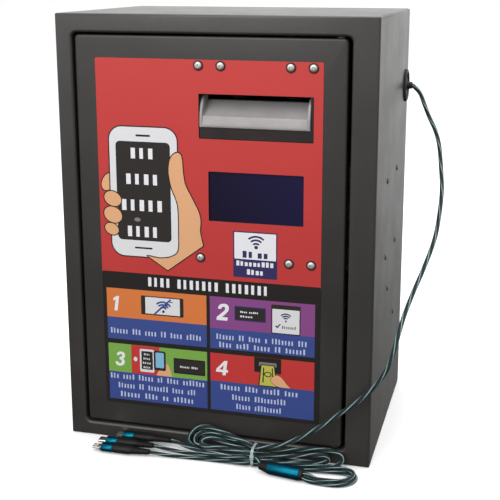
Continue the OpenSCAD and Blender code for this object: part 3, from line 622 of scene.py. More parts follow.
# blade plug with eight contact pads
ax, ay, az = PLUGS["a"]
bm = bmesh.new()
box_bm(bm, ax - 20, ax - 11.4, ay - 3.85, ay + 3.85, az - 0.8, az + 0.8, 0.7)
box_bm(bm, ax - 12.6, ax - 11.3, ay - 4.3, ay + 4.3, az - 2.2, az + 2.2, 0.8)
tip_a = finish_bm(bm, "plug_tip_a_blade", MAT["tip_steel"], "front_door")
bm = bmesh.new()
box_bm(bm, ax - 18.9, ax - 15.4, ay - 3.0, ay + 3.0, az - 0.86, az + 0.86, 0.3)
pad_bed = finish_bm(bm, "plug_tip_a_bed", MAT["nylon_white"], "front_door")
bm = bmesh.new()
for i in range(8):
    y = ay - 2.63 + i * 0.75
    box_bm(bm, ax - 18.6, ax - 15.8, y - 0.22, y + 0.22, az - 0.92, az + 0.92, 0.1)
pads = finish_bm(bm, "plug_tip_a_pads", MAT["brass"], "front_door")
# oval shell with its tongue
bx_, by_, bz_ = PLUGS["b"]
bm = bmesh.new()
outer = [[(x, by_ + a, bz_ + b) for a, b in rr2(-4.15 + d, 4.15 - d, -1.3 + d, 1.3 - d, 1.25 - d, 6)] for x, d in ((bx_ - 11.3, 0), (bx_ - 18.8, 0), (bx_ - 19, 0.15), (bx_ - 19, 0.3), (bx_ - 18.7, 0.35), (bx_ - 13, 0.35))]
loft(bm, outer)
tip_b = finish_bm(bm, "plug_tip_b_shell", MAT["tip_steel"], "front_door")
bm = bmesh.new()
box_bm(bm, bx_ - 18.2, bx_ - 12.9, by_ - 3.0, by_ + 3.0, bz_ - 0.32, bz_ + 0.32, 0.25)
tongue_b = finish_bm(bm, "plug_tip_b_tongue", MAT["black_plastic"], "front_door")
# bevelled shell
cx_, cy_, cz_ = PLUGS["c"]
def bevelled(d):
    return [(-3.4 + d, 0.9 - d), (-3.4 + d, -0.2), (-2.6 + d * 0.8, -0.9 + d), (2.6 - d * 0.8, -0.9 + d), (3.4 - d, -0.2), (3.4 - d, 0.9 - d)]
bm = bmesh.new()
loft(bm, [[(x, cy_ + a, cz_ + b) for a, b in bevelled(d)] for x, d in ((cx_ - 11.3, 0), (cx_ - 17.9, 0), (cx_ - 18, 0.1), (cx_ - 18, 0.22), (cx_ - 17.7, 0.26), (cx_ - 12.6, 0.26))])
tip_c = finish_bm(bm, "plug_tip_c_shell", MAT["tip_steel"], "front_door")
bm = bmesh.new()
box_bm(bm, cx_ - 17.4, cx_ - 12.5, cy_ - 2.2, cy_ + 2.2, cz_ + 0.05, cz_ + 0.4, 0.1)
tongue_c = finish_bm(bm, "plug_tip_c_tongue", MAT["black_plastic"], "front_door")

# splitter: coloured sleeve, black collars with the three way end
bm = bmesh.new()
def spl_ring(x, r, n=48):
    return [tuple(spl(x, r * math.cos(2 * math.pi * i / n), r * math.sin(2 * math.pi * i / n))) for i in range(n)]
loft(bm, [spl_ring(x, r) for x, r in ((0, 4.6), (0, 5.2), (0.2, 5.6), (0.7, 5.75), (29.3, 5.75), (29.8, 5.6), (30, 5.2), (30, 4.6))])
spl_sleeve = finish_bm(bm, "splitter_tube", MAT["anodised_blue"], "front_door", 40)
bm = bmesh.new()
prof = [(-9, 2.3), (-9, 3.0), (-8.7, 3.2)]
for i in range(4):
    x = -8.2 + i * 1.7
    prof += [(x, 3.3 + i * 0.42), (x + 1.0, 3.45 + i * 0.42), (x + 1.15, 2.95 + i * 0.42), (x + 1.5, 2.95 + i * 0.42)]
prof += [(-1.2, 5.1), (0.05, 5.2), (0.05, 3.5)]
loft(bm, [spl_ring(x, r, 40) for x, r in prof])
collar_l = finish_bm(bm, "splitter_collar_in", MAT["boot_black"], "front_door", 35)
bm = bmesh.new()
loft(bm, [spl_ring(x, r, 40) for x, r in ((29.95, 3.5), (29.95, 5.2), (32.2, 5.2), (32.8, 4.9), (33, 4.4), (33, 1.5))])
collar_r = finish_bm(bm, "splitter_collar_out", MAT["boot_black"], "front_door", 35)

# releasable tie: a flat band round the bundle with its toothed head and tail
bm = bmesh.new()
def band(path, w, t):
    """A flat band along (y,z) points, centred on x=42.8."""
    n = len(path)
    rings = []
    for i in range(n):
        a, b = Vector(path[i - 1]), Vector(path[(i + 1) % n])
        d = (b - a).normalized()
        nrm = Vector((d.y, -d.x))
        q = Vector(path[i])
        o, c = q + nrm * t / 2, q - nrm * t / 2
        rings.append([(42.8 - w / 2, c.x, c.y), (42.8 - w / 2, o.x, o.y), (42.8 + w / 2, o.x, o.y), (42.8 + w / 2, c.x, c.y)])
    vs = [[bm.verts.new(Vector(p) * MM) for p in r] for r in rings]
    for i in range(n):
        a, b = vs[i], vs[(i + 1) % n]
        for k in range(4):
            bm.faces.new((a[k], a[(k + 1) % 4], b[(k + 1) % 4], b[k]))
path = []
for a, b in rr2(-130.4, -110.9, 0.6, 17.4, 5.0, 8):
    path.append((a, b))
band(path, 2.3, 0.9)
box_bm(bm, 41.0, 44.6, -131.0, -128.4, 8.8, 12.8, 0.7, axis=1)
box_bm(bm, 41.9, 43.7, -130.4, -129.4, 12.8, 15.8, 0.35, axis=2)
tie = finish_bm(bm, "bundle_tie", MAT["tie_clear"], "front_door", 40)

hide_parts("lead_cord", "lead_hank")
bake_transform(lead)
for k in "abc":
    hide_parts("plug_lead_" + k, *(["branch_loop"] if k == "a" else []))
    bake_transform(branches[k])
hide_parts("plug_boots")
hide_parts("plug_sleeves")
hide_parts("plug_tip_a")
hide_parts("plug_tip_b")
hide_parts("plug_tip_c")
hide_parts("splitter_sleeve")
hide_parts("splitter_collars")
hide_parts("lead_tie")

# ------------------------------------------------------------------ printed artwork on the film
FACE = -101.9
def ccw(p):
    a = sum(p[i - 1][0] * p[i][1] - p[i][0] * p[i - 1][1] for i in range(len(p)))
    return p if a > 0 else p[::-1]

class Art:
    """Flat printed shapes, each a thin closed prism; a higher layer stands a hair further out."""
    def __init__(self):
        self.by = {}
    def poly(self, ink, layer, pts, deep=0.04):
        bm = self.by.setdefault(ink, bmesh.new())
        pts = ccw([tuple(p[:2]) for p in pts])
        clean = [p for i, p in enumerate(pts) if (Vector(p) - Vector(pts[i - 1])).length > 1e-4]
        yf, yb = FACE - 0.028 * layer, FACE + deep
        a = [bm.verts.new((x * MM, yf * MM, z * MM)) for x, z in clean]
        b = [bm.verts.new((x * MM, yb * MM, z * MM)) for x, z in clean]
        n = len(clean)
        for tri in tessellate_polygon([[Vector((x, z, 0)) for x, z in clean]]):
            if len(set(tri)) == 3:
                try:
                    bm.faces.new([a[i] for i in tri])
                    bm.faces.new([b[i] for i in tri[::-1]])
                except ValueError:
                    pass
        for i in range(n):
            j = (i + 1) % n
            bm.faces.new((a[i], a[j], b[j], b[i]))
    def rect(self, ink, layer, x0, x1, z0, z1, r=0.0, k=5):
        self.poly(ink, layer, rr2(x0, x1, z0, z1, r, k) if r > 0 else [(x0, z0), (x1, z0), (x1, z1), (x0, z1)])
    def disc(self, ink, layer, x, z, r, rz=None, rot=0.0, n=28):
        rz = rz or r
        c, s = math.cos(math.radians(rot)), math.sin(math.radians(rot))
        self.poly(ink, layer, [(x + r * math.cos(t) * c - rz * math.sin(t) * s, z + r * math.cos(t) * s + rz * math.sin(t) * c) for t in (2 * math.pi * i / n for i in range(n))])
    def arc(self, ink, layer, x, z, r, w, a0, a1, n=16, tilt=0.0):
        t = [math.radians(tilt + a0 + (a1 - a0) * i / n) for i in range(n + 1)]
        self.poly(ink, layer, [(x + (r + w / 2) * math.cos(q), z + (r + w / 2) * math.sin(q)) for q in t] + [(x + (r - w / 2) * math.cos(q), z + (r - w / 2) * math.sin(q)) for q in t[::-1]])
    def bars(self, ink, layer, words, x0, x1, z, h, gap=1.4, fill=0.72, lean=0.0):
        """A line of stand-in text: one run of plain blocks a word, no letters."""
        cells = sum(words) + gap * (len(words) - 1)
        c = (x1 - x0) / cells
        x = x0
        i = 0
        for w in words:
            for k in range(w):
                i += 1
                tall = (1.0, 0.78, 0.78, 0.92, 0.78, 1.0, 0.78)[(i * 5) % 7] if h < 7 else 1.0
                wide = (0.9, 1.0, 0.82, 1.0)[i % 4] * fill * c
                self.poly(ink, layer, [(x + lean * 0, z), (x + wide, z), (x + wide + lean * h * tall, z + h * tall), (x + lean * h * tall, z + h * tall)])
                x += c
            x += c * gap
    def finish(self):
        out = []
        for ink, bm in self.by.items():
            ob = finish_bm(bm, "print_" + ink, INK[ink], "front_door", 20)
            out.append(ob)
        return out

def smooth_loop(p, step=1.0):
    """A closed smooth outline through the points; a point given twice stays a corner."""
    n = len(p)
    out = []
    for i in range(n):
        p0, p1, p2, p3 = (Vector(p[(i + k) % n]) for k in (-1, 0, 1, 2))
        if (p2 - p1).length < 1e-6:
            continue
        if (p0 - p1).length < 1e-6:
            p0 = p1 - (p2 - p1)
        if (p3 - p2).length < 1e-6:
            p3 = p2 + (p2 - p1)
        m = max(2, int((p2 - p1).length / step))
        for j in range(m):
            t = j / m
            out.append(tuple(0.5 * ((2 * p1) + (p2 - p0) * t + (2 * p0 - 5 * p1 + 4 * p2 - p3) * t * t + (3 * p1 - p0 - 3 * p2 + p3) * t ** 3)))
    return out

def grown(p, w):
    p = ccw(p)
    out = []
    n = len(p)
    for i in range(n):
        a, b, c = Vector(p[i - 1]), Vector(p[i]), Vector(p[(i + 1) % n])
        d1, d2 = (b - a).normalized(), (c - b).normalized()
        n1, n2 = Vector((d1.y, -d1.x)), Vector((d2.y, -d2.x))
        q = n1 + n2
        if q.length < 0.2:
            q = n1
        q.normalize()
        k = min(2.0, 1.0 / max(0.35, q.dot(n1)))
        out.append(tuple(b + q * w * k))
    return out

art = Art()
art.poly("black", 1, rr2(-108.13, 97.93, 35.97, 165.7, 1.45), deep=0.38)
# tiles
for x0, x1, z0, z1, zs, top in ((-104.5, -7.3, 99.9, 149.6, 121.4, "orange"), (-4.1, 93.2, 99.9, 149.6, 119.4, "purple"),
                                (-104.5, -7.3, 39.6, 95.4, 67.2, "green"), (-4.1, 93.2, 39.6, 95.4, 68.3, "red")):
    art.rect(top, 2, x0, x1, zs, z1)
    art.rect("blue", 2, x0, x1, z0, zs)
art.bars("white", 2, (4, 7, 7), -63, 52.5, 154.0, 8.6, gap=0.8, fill=0.52)
# phone in a hand
hand = [(-33, 279.5), (-37.6, 276.5), (-40.4, 270), (-40.8, 260), (-38.6, 248), (-34.6, 238), (-32.4, 228), (-32.2, 205), (-33, 190),
        (-39, 184), (-50, 181.5), (-62.7, 183), (-62.7, 183), (-43.7, 170.8), (-43.7, 170.8), (-9.8, 196), (-9.8, 196), (-12.4, 209),
        (-11.8, 218), (-13.6, 227), (-19.6, 239), (-25.6, 251), (-27.6, 262), (-28.2, 272), (-29.6, 278)]
hand = smooth_loop(hand, 1.6)
phone = rr2(-97, -33, 182, 301, 12, 10)
art.poly("line", 3, grown(phone, 1.15))
art.poly("paper", 4, phone)
art.poly("screen", 5, rr2(-91, -39.5, 197, 288, 4, 6))
art.rect("line", 5, -71.5, -58, 292.6, 294.4, 0.6)
art.rect("line", 5, -75, -58, 189.2, 190.8, 0.6)
art.poly("line", 6, grown(hand, 1.0))
art.poly("skin", 7, hand)
for x, z, a, b, rot in ((-99.2, 250, 8.6, 5.6, 62), (-95.2, 234.6, 8.4, 6.6, -22), (-95.4, 219.6, 8.9, 7.2, -24), (-97, 206.2, 6.8, 5.2, -22)):
    cut = x < -98
    art.disc("line", 6 if not cut else 2, x, z, a + 1.0, b + 1.0, rot)
    art.disc("skin", 7 if not cut else 3 - 0.5, x, z, a, b, rot)
art.bars("white", 6, (3,), -76.6, -51.8, 272.6, 9.6, fill=0.5)
art.bars("white", 6, (4,), -81.6, -47.5, 249, 9.6, fill=0.5)
art.bars("white", 6, (5,), -86.4, -43.8, 224.6, 10.2, fill=0.5)
art.bars("white", 6, (4,), -81.4, -49.0, 200.4, 9.8, fill=0.5)
art.disc("grey", 6, -71.8, 216.4, 3.0, 1.9, 0)
# label
art.rect("navy", 1, 18.3, 58.6, 169.6, 212.0, 0.8)
art.rect("white", 2, 19.4, 57.5, 186.6, 210.9, 0.5)
for r in (4.0, 7.2, 10.4):
    art.arc("navy", 3, 39.4, 197.4, r, 1.7, 48, 132)
art.disc("navy", 3, 39.4, 198.0, 1.7)
art.bars("navy", 3, (2, 2), 27.0, 52.0, 188.0, 6.2, gap=0.5, fill=0.66)
art.bars("white", 2, (9,), 21.2, 56.2, 180.3, 4.6, fill=0.7)
art.bars("white", 2, (4,), 31.0, 47.0, 172.6, 4.9, fill=0.7)
# tile 1: a phone lying across, its signal struck out
art.rect("screen", 3, -70.6, -29.3, 126.4, 144.6, 1.0)
art.rect("paper", 4, -66.4, -32.8, 127.6, 143.6, 0.4)
for r in (3.6, 6.2, 8.8):
    art.arc("blue", 5, -49.2, 131.0, r, 1.6, 40, 140, tilt=-6)
art.disc("navy", 5, -48.8, 130.6, 1.3)
art.poly("blue", 6, [(-58.4, 127.9), (-56.2, 127.7), (-41.0, 142.2), (-42.2, 143.2)])
for q in range(3):
    art.poly("blue", 6, [(-50.2 + q * 3.4, 134.8 + q * 2.9), (-49.0 + q * 3.4, 133.9 + q * 2.9), (-45.4 + q * 3.0, 134.9 + q * 2.4), (-46.0 + q * 3.0, 136.0 + q * 2.4)])
art.bars("caption", 3, (6, 3, 4, 2, 4, 5), -101.4, -11.4, 105.6, 5.4, gap=1.1, fill=0.5)
# tile 2: a dark display and a phone with a tick
art.rect("navy", 3, 19.3, 48.4, 128.6, 142.2, 0.8)
art.rect("screen", 3.5, 20.4, 47.3, 129.7, 141.1, 0.5)
art.bars("white", 4, (4, 5), 24.6, 41.6, 136.2, 1.7, gap=0.8, fill=0.7)
art.bars("white", 4, (5,), 24.6, 36.6, 132.0, 1.7, fill=0.7)
art.rect("screen", 3, 53.4, 80.2, 119.2, 146.6, 1.0)
art.rect("paper", 4, 54.4, 79.2, 120.2, 142.6, 0.4)
for r in (2.4, 4.4, 6.4):
    art.arc("navy", 5, 66.8, 132.2, r, 1.2, 45, 135)
art.disc("navy", 5, 66.8, 131.8, 0.9)
art.poly("navy", 5, [(57.0, 126.6), (58.0, 127.4), (58.9, 126.4), (61.4, 129.0), (62.2, 128.3), (58.9, 124.6)])
art.bars("grey", 5, (7,), 63.2, 76.6, 124.6, 2.8, fill=0.66)
art.bars("caption", 3, (6, 2, 4, 1, 7, 3), 2.0, 87.4, 109.2, 5.2, gap=1.1, fill=0.5)
art.bars("caption", 3, (4, 4, 5, 2, 6), 4.6, 86.2, 101.6, 5.2, gap=1.1, fill=0.5)
# tile 3: the machine's own phone plate, a phone held to it, a dark display
art.rect("red", 2.6, -81.7, -53.6, 67.2, 95.3)
art.rect("paper", 3, -73.2, -59.0, 69.6, 92.2, 1.4)
art.rect("screen", 4, -71.6, -60.4, 72.2, 90.2, 0.4)
for q, w in enumerate((6.0, 7.2, 8.6, 7.2)):
    art.bars("paper", 5, (4,), -66 - w / 2, -66 + w / 2, 86.2 - q * 4.3, 2.0, fill=0.62)
art.disc("paper", 3, -77.6, 81.4, 1.9, 2.2)
art.poly("skin", 3, smooth_loop([(-57, 67.3), (-57, 67.3), (-54.6, 72), (-49.4, 77.6), (-45.6, 79), (-43.4, 74), (-41.4, 67.3), (-41.4, 67.3)], 1.0))
art.rect("line", 4, -59.4, -47.6, 72.4, 91.6, 1.6)
art.rect("sky", 5, -57.6, -49.4, 75.0, 90.0, 1.0)
art.rect("black", 3, -39.8, -9.2, 71.4, 86.4, 0.8)
art.rect("screen", 4, -38.6, -10.4, 72.8, 85.2, 0.4)
art.bars("paper", 5, (6, 4), -33.6, -15.8, 77.4, 2.0, gap=0.9, fill=0.66)
art.bars("caption", 3, (3, 4, 5, 2, 4, 7), -103.0, -8.9, 60.4, 5.3, gap=1.0, fill=0.5)
art.bars("caption", 3, (6, 2, 7, 4, 3), -95.4, -17.6, 51.3, 5.3, gap=1.1, fill=0.5)
art.bars("caption", 3, (6, 4, 2, 6), -93.4, -19.4, 42.6, 5.3, gap=1.1, fill=0.5)
# tile 4: a note going into a slot, with a hand
art.rect("black", 3, 37.6, 62.8, 81.0, 95.3, 0.4)
art.rect("grey", 4, 42.0, 58.4, 87.0, 91.0, 0.8)
art.poly("line", 5, [(43.6, 88.8), (56.9, 88.8), (59.6, 67.6), (41.4, 67.6)])
art.poly("note", 6, [(44.6, 88.0), (55.9, 88.0), (58.4, 68.6), (42.6, 68.6)])
art.disc("line", 6.5, 50.3, 79.6, 3.6, 2.6)
art.disc("note", 7, 50.3, 79.6, 2.6, 1.7)
art.poly("line", 6.5, [(45.2, 71.6), (46.4, 71.2), (47.0, 86.0), (46.0, 86.0)])
art.poly("line", 6.5, [(55.6, 71.6), (54.6, 71.2), (54.0, 86.0), (55.0, 86.0)])
handb = smooth_loop([(53.0, 74.6), (57.6, 79.4), (63.0, 77.8), (69.0, 70.8), (71.6, 68.4), (71.6, 68.4), (62.6, 68.4), (56.6, 70.4)], 1.0)
art.poly("line", 7, grown(handb, 0.35))
art.poly("skin", 7.6, handb)
art.bars("caption", 3, (6, 4, 5, 4), 5.6, 79.6, 60.4, 5.3, gap=1.1, fill=0.5)
art.bars("caption", 3, (6, 10), 16.6, 68.4, 51.3, 5.3, gap=1.1, fill=0.5)
art.bars("caption", 3, (5, 9), 20.6, 64.2, 42.6, 5.3, gap=1.1, fill=0.5)
prints = art.finish()

# step numerals 1 to 4, slanted and heavy
NUM = {
    "1": [[(0.30, 0), (0.58, 0), (0.58, 1), (0.36, 1), (0.10, 0.84), (0.10, 0.66), (0.30, 0.76)]],
    "2": [[(0.04, 0), (0.80, 0), (0.80, 0.20), (0.40, 0.20), (0.62, 0.40), (0.78, 0.58), (0.80, 0.74), (0.74, 0.90), (0.58, 0.99), (0.40, 1.0), (0.20, 0.96), (0.08, 0.86), (0.04, 0.68),
            (0.27, 0.68), (0.32, 0.79), (0.42, 0.82), (0.52, 0.79), (0.55, 0.70), (0.50, 0.58), (0.04, 0.18)]],
    "3": [[(0.04, 0.28), (0.08, 0.12), (0.20, 0.03), (0.40, 0.0), (0.60, 0.03), (0.76, 0.13), (0.80, 0.28), (0.76, 0.42), (0.62, 0.52), (0.74, 0.61), (0.77, 0.74), (0.71, 0.89), (0.57, 0.98),
            (0.40, 1.0), (0.22, 0.97), (0.10, 0.88), (0.06, 0.74), (0.28, 0.74), (0.33, 0.81), (0.41, 0.84), (0.50, 0.81), (0.53, 0.73), (0.48, 0.64), (0.34, 0.61), (0.34, 0.45),
            (0.50, 0.42), (0.55, 0.30), (0.50, 0.20), (0.40, 0.17), (0.31, 0.20), (0.27, 0.28)]],
    "4": [[(0.50, 0), (0.73, 0), (0.73, 0.20), (0.86, 0.20), (0.86, 0.38), (0.73, 0.38), (0.73, 1.0), (0.52, 1.0), (0.02, 0.40), (0.02, 0.20), (0.50, 0.20)]],
}
FOUR_HOLE = [(0.24, 0.38), (0.50, 0.38), (0.50, 0.70)]
nums = Art()
def numeral(ch, x, z, h, w, hole_ink):
    for p in NUM[ch]:
        nums.poly("white", 3, [(x + (a * w / 0.85) + 0.22 * b * h * 0.6, z + b * h) for a, b in p])
    if ch == "4":
        nums.poly(hole_ink, 3.6, [(x + (a * w / 0.85) + 0.22 * b * h * 0.6, z + b * h) for a, b in FOUR_HOLE])
numeral("1", -100.6, 127.8, 14.2, 9.5, "orange")
numeral("2", 1.6, 127.4, 16.0, 11.5, "purple")
numeral("3", -98.8, 73.2, 14.2, 10.4, "green")
numeral("4", 0.6, 74.4, 14.2, 11.4, "red")
for ob in nums.finish():
    ob.name = "numeral_" + ob.name

# ------------------------------------------------------------------ front panel with pressed edges
PX0, PX1, PZ0, PZ1 = -127.4, 118.4, 15.4, 381.6
def cut(target, cutters):
    """Boolean difference, applied."""
    for c in cutters:
        md = target.modifiers.new("cut", "BOOLEAN")
        md.operation, md.solver, md.object = "DIFFERENCE", "EXACT", c
    dg = bpy.context.evaluated_depsgraph_get()
    me = bpy.data.meshes.new_from_object(target.evaluated_get(dg))
    target.modifiers.clear()
    old = target.data
    target.data = me
    bpy.data.meshes.remove(old)
    for c in cutters:
        bpy.data.objects.remove(c)

def sharpen(ob, deg):
    me = ob.data
    bm = bmesh.new()
    bm.from_mesh(me)
    bmesh.ops.remove_doubles(bm, verts=bm.verts, dist=1e-7)
    bmesh.ops.dissolve_degenerate(bm, edges=bm.edges, dist=1e-7)
    for f in bm.faces:
        f.smooth = True
    for e in bm.edges:
        e.smooth = len(e.link_faces) == 2 and e.calc_face_angle(0.0) < math.radians(deg)
    bm.to_mesh(me)
    bm.free()

def cutter(rings):
    bm = bmesh.new()
    loft(bm, rings)
    return finish_bm(bm, "cutter", MAT["panel_paint"], None)

def xz_ring(y, a0, a1, b0, b1, r, k=6):
    return [(a, y, b) for a, b in rr2(a0, a1, b0, b1, r, k)]

bm = bmesh.new()
prof = []
RB = 2.0
for i in range(7):
    t = math.radians(90 * i / 6)
    prof.append((RB * (1 - math.sin(t)), -101.5 + RB * (1 - math.cos(t))))
prof += [(0, -89.5), (1.5, -89.5), (1.5, -100)]
rings = []
for ins, y in prof:
    rings.append(xz_ring(y, PX0 + ins, PX1 - ins, PZ0 + ins, PZ1 - ins, max(4 - ins, 1.2) if ins < 1.49 or y > -101 and ins == 1.5 else 2.5, 8))
loft(bm, rings)
panel = finish_bm(bm, "front_panel", MAT["panel_paint"], None)
cutters = [cutter([xz_ring(-103, -12.5, 89.9, 293, 332.4, 1), xz_ring(-99, -12.5, 89.9, 293, 332.4, 1)]),
           cutter([xz_ring(-103, -4.2, 81.8, 219.4, 264.3, 1), xz_ring(-99, -4.2, 81.8, 219.4, 264.3, 1)])]
SCREWS = [(-12.2, 356.7), (7.9, 356.7), (69.8, 356.7), (89.4, 356.7), (-12.2, 185.2), (69.2, 185.2), (89.2, 185.2)]
for x, z in SCREWS:
    cutters.append(cutter([[(x + 2.1 * math.cos(t), y, z + 2.1 * math.sin(t)) for t in (2 * math.pi * i / 20 for i in range(20))] for y in (-103, -99)]))
for z0, z1 in ((379, 383), (14, 18)):
    cutters.append(cutter([[(111.9 + 4.02 * math.cos(t), -96.5 + 4.02 * math.sin(t), z) for t in (2 * math.pi * i / 28 for i in range(28))] for z in (z0, z1)]))
cut(panel, cutters)
sharpen(panel, 32)
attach(panel, "front_door")
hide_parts("door_panel")

# ------------------------------------------------------------------ cabinet: the opening's edge is rolled in, not cut square
LIP = 2.3
shell = bpy.data.objects.new("cabinet_body", frame["nodes"]["cabinet_shell"].data.copy())
SC.collection.objects.link(shell)
shell.data.materials.clear()
shell.data.materials.append(MAT["cabinet_paint"])
flare = [(LIP + 0.3, -104.6)]
for deg in (9, 18, 28, 38, 48, 58, 68, 78, 90):
    t = math.radians(deg)
    flare.append((LIP * (1 - math.sin(t)) - 0.012, -103.5 + LIP * (1 - math.cos(t))))
cut(shell, [cutter([xz_ring(y, -129.4 - d, 122.0 + d, 13.6 - d, 383.4 + d, 5 + d, 8) for d, y in flare])])
sharpen(shell, 34)
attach(shell, "cabinet")
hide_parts("cabinet_shell")

# ------------------------------------------------------------------ note scoop: one smooth moulding with curved cheeks
def smooth_open(p, step=0.5):
    return [(q.x, q.y) for q in catmull([(a, b, 0) for a, b in p], step)[0]]
floor_c = smooth_open([(-102.1, 303.5), (-102.35, 304.4), (-102.2, 306.4), (-101.5, 309.4), (-100.7, 312.2)], 0.6) + smooth_open([(-100.4, 312.9), (-97.2, 314.7), (-93.4, 317.2), (-89.8, 320.2), (-86.8, 323.0), (-84.1, 325.4)], 0.6)
under = smooth_open([(-84.1, 322.2), (-88.4, 318.0), (-93.0, 313.6), (-96.2, 310.4), (-97.0, 306.5), (-97.0, 303.5)], 1.2)
bm = bmesh.new()
loft(bm, [[(x, a, b) for a, b in floor_c + under] for x in (-9.6, 84.8)])
cheek = smooth_open([(-102.3, 303.5), (-102.5, 308), (-101.6, 316), (-98.8, 324), (-94.6, 329), (-89.6, 331.4)], 0.7) + [(-84.1, 331.4), (-84.1, 303.5)]
for x0, x1, s in ((-11.7, -9.2, 1), (84.4, 86.9, -1)):
    e = 0.45
    def inset(p, d):
        return grown(p, -d)
    loft(bm, [[(x, a, b) for a, b in inset(cheek, d)] for x, d in ((x0, e), (x0 + e * 0.3, e * 0.3), (x0 + e, 0.0), (x1 - e, 0.0), (x1 - e * 0.3, e * 0.3), (x1, e))])
scoop = finish_bm(bm, "note_scoop", MAT["scoop_grey"], "front_door", 38)
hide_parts("bill_scoop")

# ------------------------------------------------------------------ screws: domed heads with a cross recess, on a washer
def head_mesh(name, rad, high, mat, recess=1.6):
    """One head, its axis along -Y, seated at y=0; made once and copied."""
    bm = bmesh.new()
    prof = [(0, -high)]
    for i in range(1, 9):
        t = math.radians(90 * i / 8)
        prof.append((rad * math.sin(t) * 0.98, -high * 0.35 - high * 0.65 * math.cos(t)))
    prof += [(rad, -high * 0.3), (rad, -0.1), (rad - 0.15, 0), (0, 0)]
    lathe(bm, prof, "y", (0, 0, 0), 40, closed=False)
    ob = finish_bm(bm, name, mat, None, smooth=40)
    k = recess
    w = 0.34 * k
    bm = bmesh.new()
    cross = [(w, w), (k, w * 0.72), (k, -w * 0.72), (w, -w), (w * 0.72, -k), (-w * 0.72, -k), (-w, -w), (-k, -w * 0.72), (-k, w * 0.72), (-w, w), (-w * 0.72, k), (w * 0.72, k)]
    loft(bm, [[(a * 1.15, -high - 0.3, b * 1.15) for a, b in cross], [(a * 0.55, -high + 1.35, b * 0.55) for a, b in cross]])
    c = finish_bm(bm, "cross", mat, None)
    cut(ob, [c])
    sharpen(ob, 38)
    return ob

def merged(name, parts, body):
    """Join copies of a mesh at the given matrices into one piece."""
    bm = bmesh.new()
    mats = []
    for src, mx in parts:
        tmp = bmesh.new()
        tmp.from_mesh(src.data)
        tmp.transform(mx)
        me = bpy.data.meshes.new("tmp")
        tmp.to_mesh(me)
        tmp.free()
        bm.from_mesh(me)
        bpy.data.meshes.remove(me)
        if src.data.materials[0] not in mats:
            mats.append(src.data.materials[0])
    me = bpy.data.meshes.new(name)
    bm.to_mesh(me)
    bm.free()
    ob = bpy.data.objects.new(name, me)
    SC.collection.objects.link(ob)
    for q in mats:
        me.materials.append(q)
    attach(ob, body)
    return ob

face_head = head_mesh("face_head", 3.3, 1.6, MAT["screw_head"])
T = Matrix.Translation
face_screws = merged("panel_screws", [(face_head, T(Vector((x, -102.35, z)) * MM) @ Matrix.Rotation(math.radians(17 * i + 8), 4, "Y")) for i, (x, z) in enumerate(SCREWS)], "front_door")
bm = bmesh.new()
for x, z in SCREWS:
    lathe(bm, [(3.7, -102.0), (4.3, -102.05), (4.45, -102.3), (4.3, -102.55), (3.5, -102.6), (2.2, -102.6), (2.2, -101.9)], "y", (x, 0, z), 36, closed=True)
washers = finish_bm(bm, "panel_screw_washers", MAT["black_screw"], "front_door", 35)
bm = bmesh.new()
for x, z in SCREWS:
    prof = [(0, -102.3), (2.0, -102.3)]
    y = -101.8
    while y < -94.6:
        prof += [(2.0, y), (1.62, y + 0.2), (2.0, y + 0.4)]
        y += 0.7
    prof += [(1.5, -94.2), (0, -94.0)]
    lathe(bm, prof, "y", (x, 0, z), 20, closed=False)
shanks = finish_bm(bm, "panel_screw_shanks", MAT["zinc_steel"], "front_door", 20)
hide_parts("door_screws")
rear_head = head_mesh("rear_head", 3.2, 1.6, MAT["screw_head"], 1.45)
REAR = [(-136, 60), (-136, 200), (-136, 340), (136, 60), (136, 200), (136, 340)]
rear = merged("rear_screw_heads", [(rear_head, T(Vector((x, 103.5, z)) * MM) @ Matrix.Rotation(math.pi, 4, "Z") @ Matrix.Rotation(math.radians(29 * i), 4, "Y")) for i, (x, z) in enumerate(REAR)], "cabinet")
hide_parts("rear_screws")
inlet_head = T(Vector((0, 104.5, 44.5)) * MM) @ Matrix.Rotation(math.pi, 4, "Z") @ Matrix.Scale(0.82, 4)
merged("inlet_screw_heads", [(rear_head, T(Vector((x, 0, 0)) * MM) @ inlet_head @ Matrix.Rotation(math.radians(a), 4, "Y")) for x, a in ((58.4, 20), (89.6, 71))], "cabinet")
side_head = head_mesh("side_head", 2.8, 1.2, metal("side_screw_metal", (84, 82, 78), (112, 110, 104), (0.34, 0.5), metallic=0.5), 1.3)
SIDE = [(33.3, 250), (-33.3, 250), (33.3, 178), (-33.3, 178), (-14, 142.4), (33.7, 103.3)]
sides = merged("side_screw_heads", [(side_head, T(Vector((145, y, z)) * MM) @ Matrix.Rotation(math.radians(90), 4, "Z") @ Matrix.Rotation(math.radians(23 * i), 4, "Y")) for i, (y, z) in enumerate(SIDE)], "cabinet")
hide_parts("side_screws")
for ob in (face_head, rear_head, side_head):
    bpy.data.objects.remove(ob)

